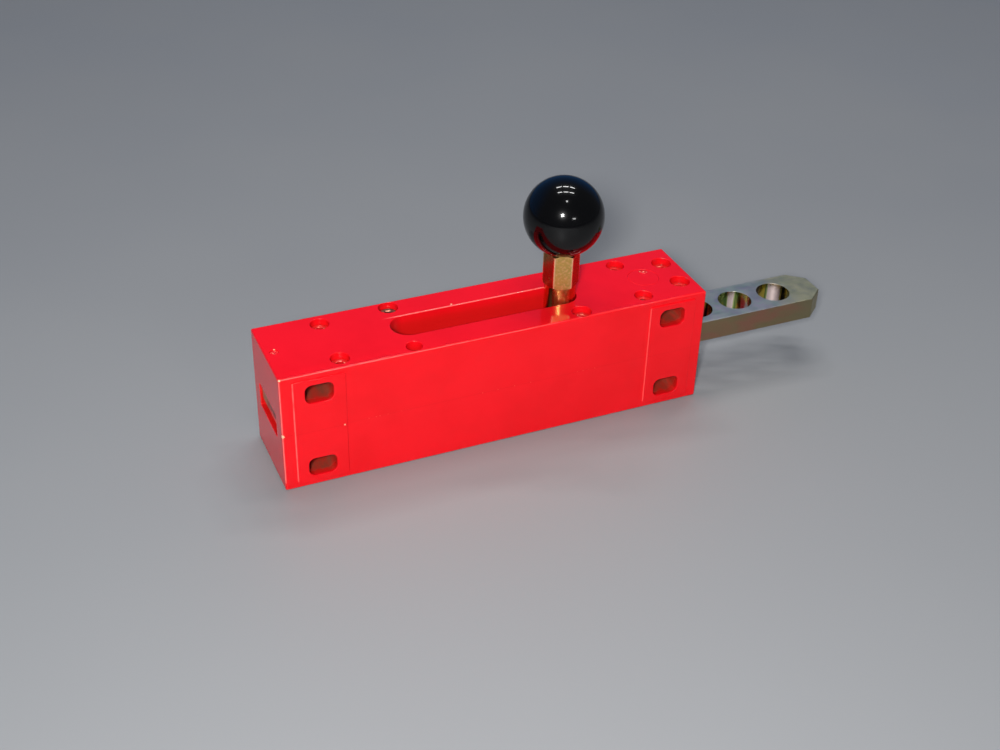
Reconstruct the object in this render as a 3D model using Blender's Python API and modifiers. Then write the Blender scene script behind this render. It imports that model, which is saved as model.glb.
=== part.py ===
"""A hand-operated slide bolt: a flat steel bolt with padlock holes slides in a split block housing.

Units are metres and +Z is up. The origin is the centre of the housing's bottom face. The bolt slides along X
and stands out at +X, its handle runs in a slot in the top, and the mounting pads are on the -Y face.
The pose is the locked one, with the bolt fully out.
"""

import math
from collections import namedtuple

import bmesh
import bpy
from mathutils import Vector

MM = 0.001
INCH = 0.0254

GAP = 0.3 * MM  # left between pieces that touch
OVERRUN = 2 * MM  # how far a cutter runs past the face that it opens
OVERLAP = 1 * MM  # how far two solids that are to be joined run into each other
MERGE_DISTANCE = 0.01 * MM

# Housing
HOUSING_LENGTH = 7 * INCH
HOUSING_WIDTH = 1.5 * INCH
HOUSING_HEIGHT = 2 * INCH
HOUSING_EDGE = 0.8 * MM
SPLIT_Z = HOUSING_HEIGHT / 2

# Raised mounting pads on the front face, with two slots in each
PAD_INNER_X = 2.5 * INCH
PAD_OUTER_X = 3.3125 * INCH
PAD_RISE = 0.6 * MM
PAD_MARGIN_Z = 2.2 * MM
PAD_ROOT = 3 * MM
SLOT_LENGTH = 7 / 16 * INCH
SLOT_WIDTH = 5 / 16 * INCH
SLOT_CORNER = 2.6 * MM
SLOT_X = (PAD_INNER_X + PAD_OUTER_X) / 2
SLOT_RISE = 21 / 32 * INCH  # from the split to a slot's centre

# Bolt bar
BAR_WIDTH = 7 / 8 * INCH
BAR_THICKNESS = 3 / 8 * INCH
BAR_TIP_X = 155.2 * MM
BAR_REAR_X = -15.5 * MM
BAR_EDGE = 0.5 * MM
TIP_CHAMFER_X = 7 * MM
TIP_CHAMFER_Y = 6 * MM
LOCK_HOLE_RADIUS = 9 / 32 * INCH
LOCK_HOLE_PITCH = 0.75 * INCH
LOCK_HOLE_COUNT = 3
LAST_LOCK_HOLE_X = 135.0 * MM

# Channel that the bar slides in
CHANNEL_WIDTH = BAR_WIDTH + 2 * GAP
CHANNEL_HEIGHT = BAR_THICKNESS + 2 * GAP
BAR_TOP_Z = SPLIT_Z + BAR_THICKNESS / 2
CHANNEL_TOP_Z = SPLIT_Z + CHANNEL_HEIGHT / 2
CHANNEL_FLOOR_Z = SPLIT_Z - CHANNEL_HEIGHT / 2

# Handle: slot, stem and ball
HANDLE_SLOT_WIDTH = 9 / 16 * INCH
HANDLE_SLOT_PITCH = 2.5 * INCH  # between the centres of its round ends
HANDLE_SLOT_ROUND = 0.999  # share of the half width that rounds the ends, so that no edge shrinks to nothing
NECK_RADIUS = 0.25 * INCH
STEM_X = HANDLE_SLOT_PITCH / 2 + HANDLE_SLOT_WIDTH / 2 - NECK_RADIUS - GAP
HEX_FLATS = 0.5 * INCH
HEX_TURN = math.radians(11.6)
HEX_BOTTOM_Z = 56.5 * MM
HEX_CHAMFER = 0.9 * MM
STEM_THREAD_RADIUS = 4.6 * MM
STEM_THREAD_CHAMFER = 0.8 * MM
BALL_RADIUS = 0.625 * INCH
BALL_Z = 85.9 * MM
BALL_FLAT_RADIUS = 7 * MM
BALL_FLAT_Z = BALL_Z - math.sqrt(BALL_RADIUS**2 - BALL_FLAT_RADIUS**2)
INSERT_RADIUS = 6 * MM
INSERT_WALL = 1.1 * MM
INSERT_LENGTH = 11.5 * MM
INSERT_GROOVE = 0.6 * MM

# Guides and wear strip
GUIDE_HALF_WIDTH = 15.9 * MM
GUIDE_TOP_Z = 36.3 * MM
FRONT_GUIDE_X = (56.3 * MM, 86.6 * MM)
REAR_GUIDE_X = (-71.2 * MM, -55.8 * MM)
GUIDE_EDGE = 0.4 * MM
STRIP_X = (-69.7 * MM, 83.7 * MM)
STRIP_HALF_WIDTH = 9.5 * MM
STRIP_THICKNESS = 1.6 * MM

# Plug in the rear of the channel and the spring pin that holds it
REAR_PLUG_RECESS = 0.8 * MM
REAR_PLUG_LENGTH = 7 * MM
REAR_PLUG_CUT = 3.6 * MM  # taken off its lower outer edge
CUT_ANGLE = math.radians(45)
REAR_PLUG_CUTTER = 4 * REAR_PLUG_CUT
REAR_PIN_X = -85.0 * MM
REAR_PIN_RADIUS = 1.5 * MM
REAR_PIN_BOTTOM_Z = 24.0 * MM
REAR_PIN_RECESS = 0.25 * MM

# Flush plug in the top
TOP_PLUG_X = 70.0 * MM
TOP_PLUG_RADIUS = 0.25 * INCH
TOP_PLUG_THICKNESS = 3.4 * MM
TOP_PLUG_CHAMFER = 0.3 * MM

# Socket screws. The depth is that of the head's top below the housing's top.
Screw = namedtuple("Screw", "head_radius head_height shank_radius shank_length depth bore_radius")
GUIDE_SCREW = Screw(3.43 * MM, 4.0 * MM, 2.0 * MM, 12.6 * MM, 2.4 * MM, 3.75 * MM)
END_SCREW = Screw(3.75 * MM, 2.4 * MM, 2.3 * MM, 14.0 * MM, 2.7 * MM, 4.05 * MM)
CLAMP_SCREW = Screw(3.6 * MM, 4.8 * MM, 2.3 * MM, 37.0 * MM, 2.6 * MM, 3.9 * MM)
SCREW_CHAMFER = 0.35 * MM
SOCKET_SHARE = 0.5  # of the head's radius and of its height

FRONT_GUIDE_SCREWS = [(2.5 * INCH, 0.5 * INCH), (2.5 * INCH, -0.5 * INCH)]
END_GUIDE_SCREWS = [(3.25 * INCH, 0.3125 * INCH), (3.25 * INCH, -0.3125 * INCH)]
REAR_GUIDE_SCREWS = [(-2.5 * INCH, 0.5 * INCH), (-2.5 * INCH, -0.5 * INCH)]
CLAMP_X = 1.375 * INCH
CLAMP_Y = 14.8 * MM
CLAMP_SCREWS = [(-CLAMP_X, CLAMP_Y), (CLAMP_X, -CLAMP_Y)]
DOWELS = [(-CLAMP_X, -CLAMP_Y), (CLAMP_X, CLAMP_Y)]
DOWEL_RADIUS = 2.3 * MM
DOWEL_BORE_RADIUS = 3.2 * MM
DOWEL_TOP_Z = 44.5 * MM
DOWEL_BOTTOM_Z = 14.0 * MM
DOWEL_CHAMFER = 0.5 * MM

# Finishes: colour, roughness and metallic share
Finish = namedtuple("Finish", "colour roughness metallic")
RED_PAINT = Finish((0.85, 0.015, 0.02), 0.18, 0.0)
CHROMATE = Finish((0.36, 0.33, 0.22), 0.34, 1.0)
BRASS = Finish((0.55, 0.4, 0.14), 0.25, 1.0)
BRONZE = Finish((0.45, 0.28, 0.12), 0.4, 1.0)
BLACK_PHENOLIC = Finish((0.01, 0.01, 0.011), 0.06, 0.0)
BLACK_OXIDE = Finish((0.06, 0.055, 0.05), 0.4, 1.0)
GROUND_STEEL = Finish((0.5, 0.5, 0.5), 0.25, 1.0)

ROUND_STEPS = 24
PIN_STEPS = 12
BALL_STEPS = 36
BALL_ARC_STEPS = 14
CORNER_STEPS = 6
EDGE_STEPS = 2
SHARP_ANGLE = math.radians(35)


def clear_scene():
    for item in list(bpy.data.objects):
        bpy.data.objects.remove(item, do_unlink=True)


def new_collection(name):
    made = bpy.data.collections.new(name)
    bpy.context.scene.collection.children.link(made)
    return made


def new_material(name, finish):
    made = bpy.data.materials.new(name)
    made.use_nodes = True
    shader = made.node_tree.nodes["Principled BSDF"]
    shader.inputs["Base Color"].default_value = (*finish.colour, 1.0)
    shader.inputs["Roughness"].default_value = finish.roughness
    shader.inputs["Metallic"].default_value = finish.metallic
    return made


def mesh_from(name, bm):
    bmesh.ops.recalc_face_normals(bm, faces=bm.faces)
    mesh = bpy.data.meshes.new(name)
    bm.to_mesh(mesh)
    bm.free()
    return mesh


def block_mesh(name, size, axis=None, radius=0.0, steps=CORNER_STEPS):
    """A box centred on its origin. Where a radius is given, the four edges along axis are rounded by it."""
    bm = bmesh.new()
    bmesh.ops.create_cube(bm, size=1.0)
    bmesh.ops.scale(bm, vec=size, verts=bm.verts)
    if radius:
        along = "XYZ".index(axis)
        edges = [edge for edge in bm.edges if edge.verts[0].co[along] * edge.verts[1].co[along] < 0]
        bmesh.ops.bevel(bm, geom=edges, offset=radius, segments=steps, profile=0.5, affect="EDGES")
    return mesh_from(name, bm)


def rod_mesh(name, radius, length, sides=ROUND_STEPS):
    """A prism or cylinder along Z, centred on its origin."""
    bm = bmesh.new()
    bmesh.ops.create_cone(bm, cap_ends=True, segments=sides, radius1=radius, radius2=radius, depth=length)
    mesh = mesh_from(name, bm)
    if sides == ROUND_STEPS:
        mesh.shade_smooth()
        mesh.set_sharp_from_angle(angle=SHARP_ANGLE)
    return mesh


def place(name, mesh, centre, home):
    piece = bpy.data.objects.new(name, mesh)
    piece.location = centre
    home.objects.link(piece)
    return piece


def turned(name, outline, centre, home, steps=ROUND_STEPS):
    """A shape turned about Z from (radius, height) points that run down its outer side."""
    mesh = bpy.data.meshes.new(name)
    points = [(radius, 0.0, height) for radius, height in outline]
    mesh.from_pydata(points, [(i, i + 1) for i in range(len(points) - 1)], [])
    piece = place(name, mesh, centre, home)
    screw = piece.modifiers.new("turn", "SCREW")
    screw.steps = steps
    screw.render_steps = steps
    screw.use_merge_vertices = True
    screw.merge_threshold = MERGE_DISTANCE
    return piece


def combine(piece, operation, others):
    for other in others:
        step = piece.modifiers.new(f"{operation.lower()} {other.name}", "BOOLEAN")
        step.operation = operation
        step.solver = "EXACT"
        step.object = other


def round_edges(piece, width, segments=EDGE_STEPS):
    bevel = piece.modifiers.new("edges", "BEVEL")
    bevel.width = width
    bevel.segments = segments
    bevel.limit_method = "ANGLE"


def finished_mesh(piece, name):
    """The piece's mesh with its modifiers applied, for copies to share."""
    graph = bpy.context.evaluated_depsgraph_get()
    mesh = bpy.data.meshes.new_from_object(piece.evaluated_get(graph))
    mesh.name = name
    bpy.data.objects.remove(piece, do_unlink=True)
    return mesh


def hide_cutter(piece):
    piece.hide_render = True
    piece.display_type = "WIRE"
    return piece


def box_cutter(name, low, high, axis=None, radius=0.0):
    size = [top - bottom for bottom, top in zip(low, high)]
    centre = [(top + bottom) / 2 for bottom, top in zip(low, high)]
    return hide_cutter(place(name, block_mesh(name, size, axis, radius), centre, CUTTERS))


def bore_cutter(name, radius, x, y, low_z, high_z):
    mesh = rod_mesh(name, radius, high_z - low_z)
    return hide_cutter(place(name, mesh, (x, y, (low_z + high_z) / 2), CUTTERS))


def block_between(name, low, high, material, parent):
    size = [top - bottom for bottom, top in zip(low, high)]
    centre = [(top + bottom) / 2 for bottom, top in zip(low, high)]
    return own(place(name, block_mesh(name, size), centre, PARTS), material, parent)


def own(piece, material, parent):
    """Gives a piece its material and hangs it on the empty of its body."""
    if not piece.data.materials:
        piece.data.materials.append(material)
    piece.location = Vector(piece.location) - parent.location
    piece.parent = parent
    return piece


def empty_at(name, centre):
    holder = bpy.data.objects.new(name, None)
    holder.location = centre
    PARTS.objects.link(holder)
    return holder


def seat_height(kind):
    """The height of the underside of a screw's head."""
    return HOUSING_HEIGHT - kind.depth - kind.head_height


# ---- housing ----


def mounting_slots(side):
    """Cutters for one half's two slots, through the housing along Y."""
    reach = HOUSING_WIDTH / 2 + OVERRUN
    z = SPLIT_Z + side * SLOT_RISE
    cutters = []
    for end in (-1, 1):
        low = (end * SLOT_X - SLOT_LENGTH / 2, -reach, z - SLOT_WIDTH / 2)
        high = (end * SLOT_X + SLOT_LENGTH / 2, reach, z + SLOT_WIDTH / 2)
        cutters.append(box_cutter(f"mounting slot {side} {end}", low, high, "Y", SLOT_CORNER))
    return cutters


def raised_pads(half):
    """The two pads of the front face, as blocks to be joined to one half."""
    pads = []
    for end in (-1, 1):
        near, far = sorted((end * PAD_INNER_X, end * PAD_OUTER_X))
        low = (near, -HOUSING_WIDTH / 2 - PAD_RISE, PAD_MARGIN_Z)
        high = (far, -HOUSING_WIDTH / 2 + PAD_ROOT, HOUSING_HEIGHT - PAD_MARGIN_Z)
        pads.append(box_cutter(f"pad {half} {end}", low, high))
    return pads


def channel_cutters(half):
    """The bar's channel, and a block that takes away all of the housing on the other side of the split."""
    far_x = HOUSING_LENGTH / 2 + OVERRUN
    side_y = CHANNEL_WIDTH / 2
    channel = box_cutter(
        f"channel {half}", (-far_x, -side_y, CHANNEL_FLOOR_Z), (far_x, side_y, CHANNEL_TOP_Z)
    )
    far_y = HOUSING_WIDTH / 2 + PAD_RISE + OVERRUN
    if half == "upper":
        low_z, high_z = -OVERRUN, SPLIT_Z + GAP / 2
    else:
        low_z, high_z = SPLIT_Z - GAP / 2, HOUSING_HEIGHT + OVERRUN
    rest = box_cutter(f"other half {half}", (-far_x, -far_y, low_z), (far_x, far_y, high_z))
    return [channel, rest]


def guide_pocket(name, span):
    low = (span[0] - GAP, -GUIDE_HALF_WIDTH - GAP, SPLIT_Z - OVERRUN)
    high = (span[1] + GAP, GUIDE_HALF_WIDTH + GAP, GUIDE_TOP_Z + GAP)
    return box_cutter(name, low, high)


def handle_slot():
    reach = HANDLE_SLOT_PITCH / 2 + HANDLE_SLOT_WIDTH / 2
    half = HANDLE_SLOT_WIDTH / 2
    low = (-reach, -half, SPLIT_Z)
    high = (reach, half, HOUSING_HEIGHT + OVERRUN)
    return box_cutter("handle slot", low, high, "Z", half * HANDLE_SLOT_ROUND)


def screw_bores(name, spots, kind, shank_bottom_z):
    """For each screw, the wide bore over its head and the clearance bore for its shank."""
    seat_z = seat_height(kind)
    mouth_z = HOUSING_HEIGHT + OVERRUN
    shank_radius = kind.shank_radius + GAP
    cutters = []
    for number, (x, y) in enumerate(spots, 1):
        cutters.append(bore_cutter(f"{name} head {number}", kind.bore_radius, x, y, seat_z - GAP, mouth_z))
        cutters.append(bore_cutter(f"{name} shank {number}", shank_radius, x, y, shank_bottom_z, seat_z))
    return cutters


def dowel_bores(half):
    radius = DOWEL_RADIUS + GAP
    low_z = DOWEL_BOTTOM_Z - GAP
    high_z = DOWEL_TOP_Z + GAP
    mouth_z = HOUSING_HEIGHT + OVERRUN
    cutters = []
    for number, (x, y) in enumerate(DOWELS, 1):
        cutters.append(bore_cutter(f"dowel {half} {number}", radius, x, y, low_z, high_z))
        if half == "upper":
            name = f"dowel mouth {number}"
            cutters.append(bore_cutter(name, DOWEL_BORE_RADIUS, x, y, DOWEL_TOP_Z, mouth_z))
    return cutters


def housing_half(half, material, parent, cutters):
    """One half of the housing: the whole rounded block and its pads, cut back to the split and then bored."""
    name = f"housing_{half}"
    mesh = block_mesh(name, (HOUSING_LENGTH, HOUSING_WIDTH, HOUSING_HEIGHT))
    piece = place(name, mesh, (0, 0, HOUSING_HEIGHT / 2), PARTS)
    round_edges(piece, HOUSING_EDGE)
    combine(piece, "UNION", raised_pads(half))
    combine(piece, "DIFFERENCE", channel_cutters(half) + cutters)
    return own(piece, material, parent)


def make_housing(material, parent):
    thread_radius = CLAMP_SCREW.shank_radius + GAP
    thread_bottom_z = seat_height(CLAMP_SCREW) - CLAMP_SCREW.shank_length - OVERRUN
    plug_pocket = bore_cutter(
        "top plug pocket",
        TOP_PLUG_RADIUS + GAP / 2,
        TOP_PLUG_X,
        0,
        HOUSING_HEIGHT - TOP_PLUG_THICKNESS - GAP,
        HOUSING_HEIGHT + OVERRUN,
    )
    pin_bore = bore_cutter(
        "rear pin bore", REAR_PIN_RADIUS + GAP / 2, REAR_PIN_X, 0, SPLIT_Z, HOUSING_HEIGHT + OVERRUN
    )
    upper = [
        handle_slot(),
        guide_pocket("front guide pocket", FRONT_GUIDE_X),
        guide_pocket("rear guide pocket", REAR_GUIDE_X),
        plug_pocket,
        pin_bore,
    ]
    upper += mounting_slots(1)
    upper += screw_bores("front guide bore", FRONT_GUIDE_SCREWS, GUIDE_SCREW, GUIDE_TOP_Z - OVERRUN)
    upper += screw_bores("end guide bore", END_GUIDE_SCREWS, END_SCREW, GUIDE_TOP_Z - OVERRUN)
    upper += screw_bores("rear guide bore", REAR_GUIDE_SCREWS, GUIDE_SCREW, GUIDE_TOP_Z - OVERRUN)
    upper += screw_bores("clamp bore", CLAMP_SCREWS, CLAMP_SCREW, SPLIT_Z - OVERRUN)
    upper += dowel_bores("upper")
    housing_half("upper", material, parent, upper)

    strip_low = (STRIP_X[0] - GAP, -STRIP_HALF_WIDTH - GAP, CHANNEL_FLOOR_Z - STRIP_THICKNESS - GAP)
    strip_high = (STRIP_X[1] + GAP, STRIP_HALF_WIDTH + GAP, SPLIT_Z)
    lower = [box_cutter("strip pocket", strip_low, strip_high)]
    lower += mounting_slots(-1)
    for number, (x, y) in enumerate(CLAMP_SCREWS, 1):
        name = f"clamp thread {number}"
        lower.append(bore_cutter(name, thread_radius, x, y, thread_bottom_z, SPLIT_Z + OVERRUN))
    lower += dowel_bores("lower")
    housing_half("lower", material, parent, lower)


# ---- guides, strip, plugs and pins ----


def make_guide(name, span, screws, kinds, material, parent):
    """A guide block: an arch over the bar, with a blind threaded hole for each of its screws."""
    low = (span[0], -GUIDE_HALF_WIDTH, SPLIT_Z + GAP)
    high = (span[1], GUIDE_HALF_WIDTH, GUIDE_TOP_Z)
    guide = block_between(name, low, high, material, parent)
    round_edges(guide, GUIDE_EDGE, 1)
    arch_low = (span[0] - OVERRUN, -CHANNEL_WIDTH / 2, SPLIT_Z - OVERRUN)
    arch_high = (span[1] + OVERRUN, CHANNEL_WIDTH / 2, CHANNEL_TOP_Z)
    cutters = [box_cutter(f"{name} arch", arch_low, arch_high)]
    for number, ((x, y), kind) in enumerate(zip(screws, kinds), 1):
        low_z = seat_height(kind) - kind.shank_length - GAP
        radius = kind.shank_radius + GAP
        cutters.append(bore_cutter(f"{name} thread {number}", radius, x, y, low_z, GUIDE_TOP_Z + OVERRUN))
    combine(guide, "DIFFERENCE", cutters)


def make_wear_strip(material, parent):
    low = (STRIP_X[0], -STRIP_HALF_WIDTH, CHANNEL_FLOOR_Z - STRIP_THICKNESS)
    high = (STRIP_X[1], STRIP_HALF_WIDTH, CHANNEL_FLOOR_Z)
    strip = block_between("lower_wear_strip", low, high, material, parent)
    round_edges(strip, GUIDE_EDGE, 1)


def make_rear_plug(material, pin_material, parent):
    """The block that closes the channel's rear end, and the spring pin driven down into it."""
    rear_x = -HOUSING_LENGTH / 2 + REAR_PLUG_RECESS
    low = (rear_x, -BAR_WIDTH / 2, SPLIT_Z - BAR_THICKNESS / 2)
    high = (rear_x + REAR_PLUG_LENGTH, BAR_WIDTH / 2, BAR_TOP_Z)
    plug = block_between("rear_end_plug", low, high, material, parent)
    round_edges(plug, BAR_EDGE)
    bore = bore_cutter(
        "rear plug bore",
        REAR_PIN_RADIUS + GAP / 2,
        REAR_PIN_X,
        0,
        REAR_PIN_BOTTOM_Z - GAP,
        BAR_TOP_Z + OVERRUN,
    )
    mesh = block_mesh("rear plug cut", (REAR_PLUG_CUTTER, HOUSING_WIDTH, REAR_PLUG_CUTTER))
    shift = REAR_PLUG_CUT / 2 - REAR_PLUG_CUTTER / 2 * math.sin(CUT_ANGLE)
    cut = hide_cutter(place("rear plug cut", mesh, (rear_x + shift, 0, low[2] + shift), CUTTERS))
    cut.rotation_euler.y = CUT_ANGLE
    combine(plug, "DIFFERENCE", [bore, cut])

    top = HOUSING_HEIGHT - REAR_PIN_RECESS
    outline = [
        (0.0, top),
        (REAR_PIN_RADIUS - SCREW_CHAMFER, top),
        (REAR_PIN_RADIUS, top - SCREW_CHAMFER),
        (REAR_PIN_RADIUS, REAR_PIN_BOTTOM_Z),
        (0.0, REAR_PIN_BOTTOM_Z),
    ]
    pin = turned("rear_spring_pin", outline, (REAR_PIN_X, 0, 0), PARTS, PIN_STEPS)
    own(pin, pin_material, parent)


def make_top_plug(material, parent):
    top = HOUSING_HEIGHT
    outline = [
        (0.0, top),
        (TOP_PLUG_RADIUS - TOP_PLUG_CHAMFER, top),
        (TOP_PLUG_RADIUS, top - TOP_PLUG_CHAMFER),
        (TOP_PLUG_RADIUS, top - TOP_PLUG_THICKNESS),
        (0.0, top - TOP_PLUG_THICKNESS),
    ]
    own(turned("top_plug", outline, (TOP_PLUG_X, 0, 0), PARTS), material, parent)


def make_dowels(material, parent):
    outline = [
        (0.0, DOWEL_TOP_Z),
        (DOWEL_RADIUS - DOWEL_CHAMFER, DOWEL_TOP_Z),
        (DOWEL_RADIUS, DOWEL_TOP_Z - DOWEL_CHAMFER),
        (DOWEL_RADIUS, DOWEL_BOTTOM_Z + DOWEL_CHAMFER),
        (DOWEL_RADIUS - DOWEL_CHAMFER, DOWEL_BOTTOM_Z),
        (0.0, DOWEL_BOTTOM_Z),
    ]
    mesh = finished_mesh(turned("dowel", outline, (0, 0, 0), PARTS), "dowel")
    for number, (x, y) in enumerate(DOWELS, 1):
        own(place(f"dowel_pin_{number}", mesh, (x, y, 0), PARTS), material, parent)


# ---- screws ----


def screw_mesh(name, kind):
    """A socket screw whose origin is the centre of the underside of its head."""
    outline = [
        (0.0, kind.head_height),
        (kind.head_radius - SCREW_CHAMFER, kind.head_height),
        (kind.head_radius, kind.head_height - SCREW_CHAMFER),
        (kind.head_radius, 0.0),
        (kind.shank_radius, 0.0),
        (kind.shank_radius, SCREW_CHAMFER - kind.shank_length),
        (kind.shank_radius - SCREW_CHAMFER, -kind.shank_length),
        (0.0, -kind.shank_length),
    ]
    body = turned(name, outline, (0, 0, 0), PARTS)
    depth = kind.head_height * SOCKET_SHARE
    socket_mesh = rod_mesh(f"{name} socket", kind.head_radius * SOCKET_SHARE, depth + OVERRUN, sides=6)
    centre = (0, 0, kind.head_height + (OVERRUN - depth) / 2)
    socket = hide_cutter(place(f"{name} socket", socket_mesh, centre, CUTTERS))
    combine(body, "DIFFERENCE", [socket])
    return finished_mesh(body, name)


def make_screws(name, spots, kind, material, parent):
    mesh = screw_mesh(name, kind)
    for number, (x, y) in enumerate(spots, 1):
        own(place(f"{name}_{number}", mesh, (x, y, seat_height(kind)), PARTS), material, parent)


# ---- bolt: bar, stem, insert and ball ----


def make_bar(material, parent):
    """The flat bar: its tip corners are cut off, and it has the lock holes and the stem's threaded hole."""
    length = BAR_TIP_X - BAR_REAR_X
    bm = bmesh.new()
    bmesh.ops.create_cube(bm, size=1.0)
    bmesh.ops.scale(bm, vec=(length, BAR_WIDTH, BAR_THICKNESS), verts=bm.verts)
    slope = Vector((TIP_CHAMFER_Y, TIP_CHAMFER_X, 0)).normalized()
    for side in (-1, 1):
        corner = Vector((length / 2 - TIP_CHAMFER_X, side * BAR_WIDTH / 2, 0))
        everything = list(bm.verts) + list(bm.edges) + list(bm.faces)
        bmesh.ops.bisect_plane(
            bm, geom=everything, plane_co=corner, plane_no=(slope.x, side * slope.y, 0), clear_outer=True
        )
        bmesh.ops.holes_fill(bm, edges=bm.edges)
    bar = place("bolt_bar", mesh_from("bolt_bar", bm), (BAR_REAR_X + length / 2, 0, SPLIT_Z), PARTS)
    round_edges(bar, BAR_EDGE)

    low_z = SPLIT_Z - BAR_THICKNESS / 2 - OVERRUN
    high_z = BAR_TOP_Z + OVERRUN
    holes = [bore_cutter("stem thread", STEM_THREAD_RADIUS + GAP, STEM_X, 0, low_z, high_z)]
    for number in range(LOCK_HOLE_COUNT):
        x = LAST_LOCK_HOLE_X - number * LOCK_HOLE_PITCH
        holes.append(bore_cutter(f"lock hole {number}", LOCK_HOLE_RADIUS, x, 0, low_z, high_z))
    combine(bar, "DIFFERENCE", holes)
    own(bar, material, parent)


def make_stem(material, parent):
    """Threaded end, round neck, hexagon and threaded end, from the bar up into the ball."""
    hex_top_z = BALL_FLAT_Z - GAP
    thread_top_z = BALL_FLAT_Z + INSERT_LENGTH
    bar_bottom_z = SPLIT_Z - BAR_THICKNESS / 2
    outline = [
        (0.0, thread_top_z),
        (STEM_THREAD_RADIUS - STEM_THREAD_CHAMFER, thread_top_z),
        (STEM_THREAD_RADIUS, thread_top_z - STEM_THREAD_CHAMFER),
        (STEM_THREAD_RADIUS, hex_top_z - OVERLAP),
        (NECK_RADIUS, hex_top_z - 2 * OVERLAP),
        (NECK_RADIUS, BAR_TOP_Z + GAP),
        (STEM_THREAD_RADIUS, BAR_TOP_Z + GAP),
        (STEM_THREAD_RADIUS, bar_bottom_z + STEM_THREAD_CHAMFER),
        (STEM_THREAD_RADIUS - STEM_THREAD_CHAMFER, bar_bottom_z),
        (0.0, bar_bottom_z),
    ]
    stem = turned("handle_stem", outline, (STEM_X, 0, 0), PARTS)

    corner_radius = HEX_FLATS / 2 / math.cos(math.pi / 6)
    height = hex_top_z - HEX_BOTTOM_Z
    centre = (STEM_X, 0, HEX_BOTTOM_Z + height / 2)
    hexagon = place("hexagon", rod_mesh("hexagon", corner_radius, height, sides=6), centre, CUTTERS)
    hexagon.rotation_euler.z = HEX_TURN
    hide_cutter(hexagon)
    rim = corner_radius - HEX_CHAMFER
    barrel_outline = [
        (0.0, hex_top_z + OVERLAP),
        (rim, hex_top_z + OVERLAP),
        (rim, hex_top_z),
        (corner_radius, hex_top_z - HEX_CHAMFER),
        (corner_radius, HEX_BOTTOM_Z + HEX_CHAMFER),
        (rim, HEX_BOTTOM_Z),
        (rim, HEX_BOTTOM_Z - OVERLAP),
        (0.0, HEX_BOTTOM_Z - OVERLAP),
    ]
    barrel = hide_cutter(turned("hexagon chamfers", barrel_outline, (STEM_X, 0, 0), CUTTERS))
    combine(hexagon, "INTERSECT", [barrel])
    combine(stem, "UNION", [hexagon])
    own(stem, material, parent)


def make_insert(material, parent):
    """The threaded metal bush moulded into the ball, with a keying groove round its outside."""
    low = BALL_FLAT_Z + GAP
    high = low + INSERT_LENGTH - 2 * GAP
    middle = (low + high) / 2
    inner = INSERT_RADIUS - INSERT_WALL
    outline = [
        (inner, high),
        (INSERT_RADIUS, high),
        (INSERT_RADIUS, middle + INSERT_GROOVE),
        (INSERT_RADIUS - INSERT_GROOVE, middle),
        (INSERT_RADIUS, middle - INSERT_GROOVE),
        (INSERT_RADIUS, low),
        (inner, low),
        (inner, high),
    ]
    own(turned("knob_insert", outline, (STEM_X, 0, 0), PARTS), material, parent)


def make_ball(material, parent):
    """The ball, flat where it meets the hexagon and bored for its bush."""
    flat_angle = math.asin(BALL_FLAT_RADIUS / BALL_RADIUS)
    outline = []
    for step in range(BALL_ARC_STEPS + 1):
        angle = (math.pi - flat_angle) * step / BALL_ARC_STEPS
        outline.append((BALL_RADIUS * math.sin(angle), BALL_Z + BALL_RADIUS * math.cos(angle)))
    bore = INSERT_RADIUS + GAP
    bore_top = BALL_FLAT_Z + INSERT_LENGTH + GAP
    outline += [(bore, BALL_FLAT_Z), (bore, bore_top), (0.0, bore_top)]
    own(turned("ball_knob", outline, (STEM_X, 0, 0), PARTS, BALL_STEPS), material, parent)


def make_slide_bolt():
    red = new_material("red gloss paint", RED_PAINT)
    chromate = new_material("yellow chromated steel", CHROMATE)
    brass = new_material("brass", BRASS)
    bronze = new_material("bearing bronze", BRONZE)
    black_plastic = new_material("black phenolic", BLACK_PHENOLIC)
    dark_steel = new_material("black oxide steel", BLACK_OXIDE)
    bright_steel = new_material("ground steel", GROUND_STEEL)

    housing = empty_at("housing_frame", (0, 0, 0))
    bolt = empty_at("bolt_slide_axis", (STEM_X, 0, SPLIT_Z))

    make_housing(red, housing)
    front_kinds = [GUIDE_SCREW, GUIDE_SCREW, END_SCREW, END_SCREW]
    front_screws = FRONT_GUIDE_SCREWS + END_GUIDE_SCREWS
    make_guide("front_guide_block", FRONT_GUIDE_X, front_screws, front_kinds, bronze, housing)
    rear_kinds = [GUIDE_SCREW, GUIDE_SCREW]
    make_guide("rear_guide_block", REAR_GUIDE_X, REAR_GUIDE_SCREWS, rear_kinds, bronze, housing)
    make_wear_strip(bronze, housing)
    make_rear_plug(chromate, bright_steel, housing)
    make_top_plug(red, housing)
    make_dowels(bright_steel, housing)
    make_screws("front_guide_screw", FRONT_GUIDE_SCREWS, GUIDE_SCREW, dark_steel, housing)
    make_screws("end_guide_screw", END_GUIDE_SCREWS, END_SCREW, dark_steel, housing)
    make_screws("rear_guide_screw", REAR_GUIDE_SCREWS, GUIDE_SCREW, dark_steel, housing)
    make_screws("clamp_screw", CLAMP_SCREWS, CLAMP_SCREW, dark_steel, housing)

    make_bar(chromate, bolt)
    make_stem(brass, bolt)
    make_insert(brass, bolt)
    make_ball(black_plastic, bolt)


clear_scene()
PARTS = new_collection("slide_bolt")
CUTTERS = new_collection("cutters")
make_slide_bolt()
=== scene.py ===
"""The look of the hand-operated slide bolt: red gloss housing, plated bar, gold hexagon stem and black ball.

Every object is in metres in the frame's own axes.
+X is the way the bolt comes out, and -Y is the side with the pads.
"""

import math

import bmesh
import bpy
from mathutils import Matrix, Quaternion, Vector


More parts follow.
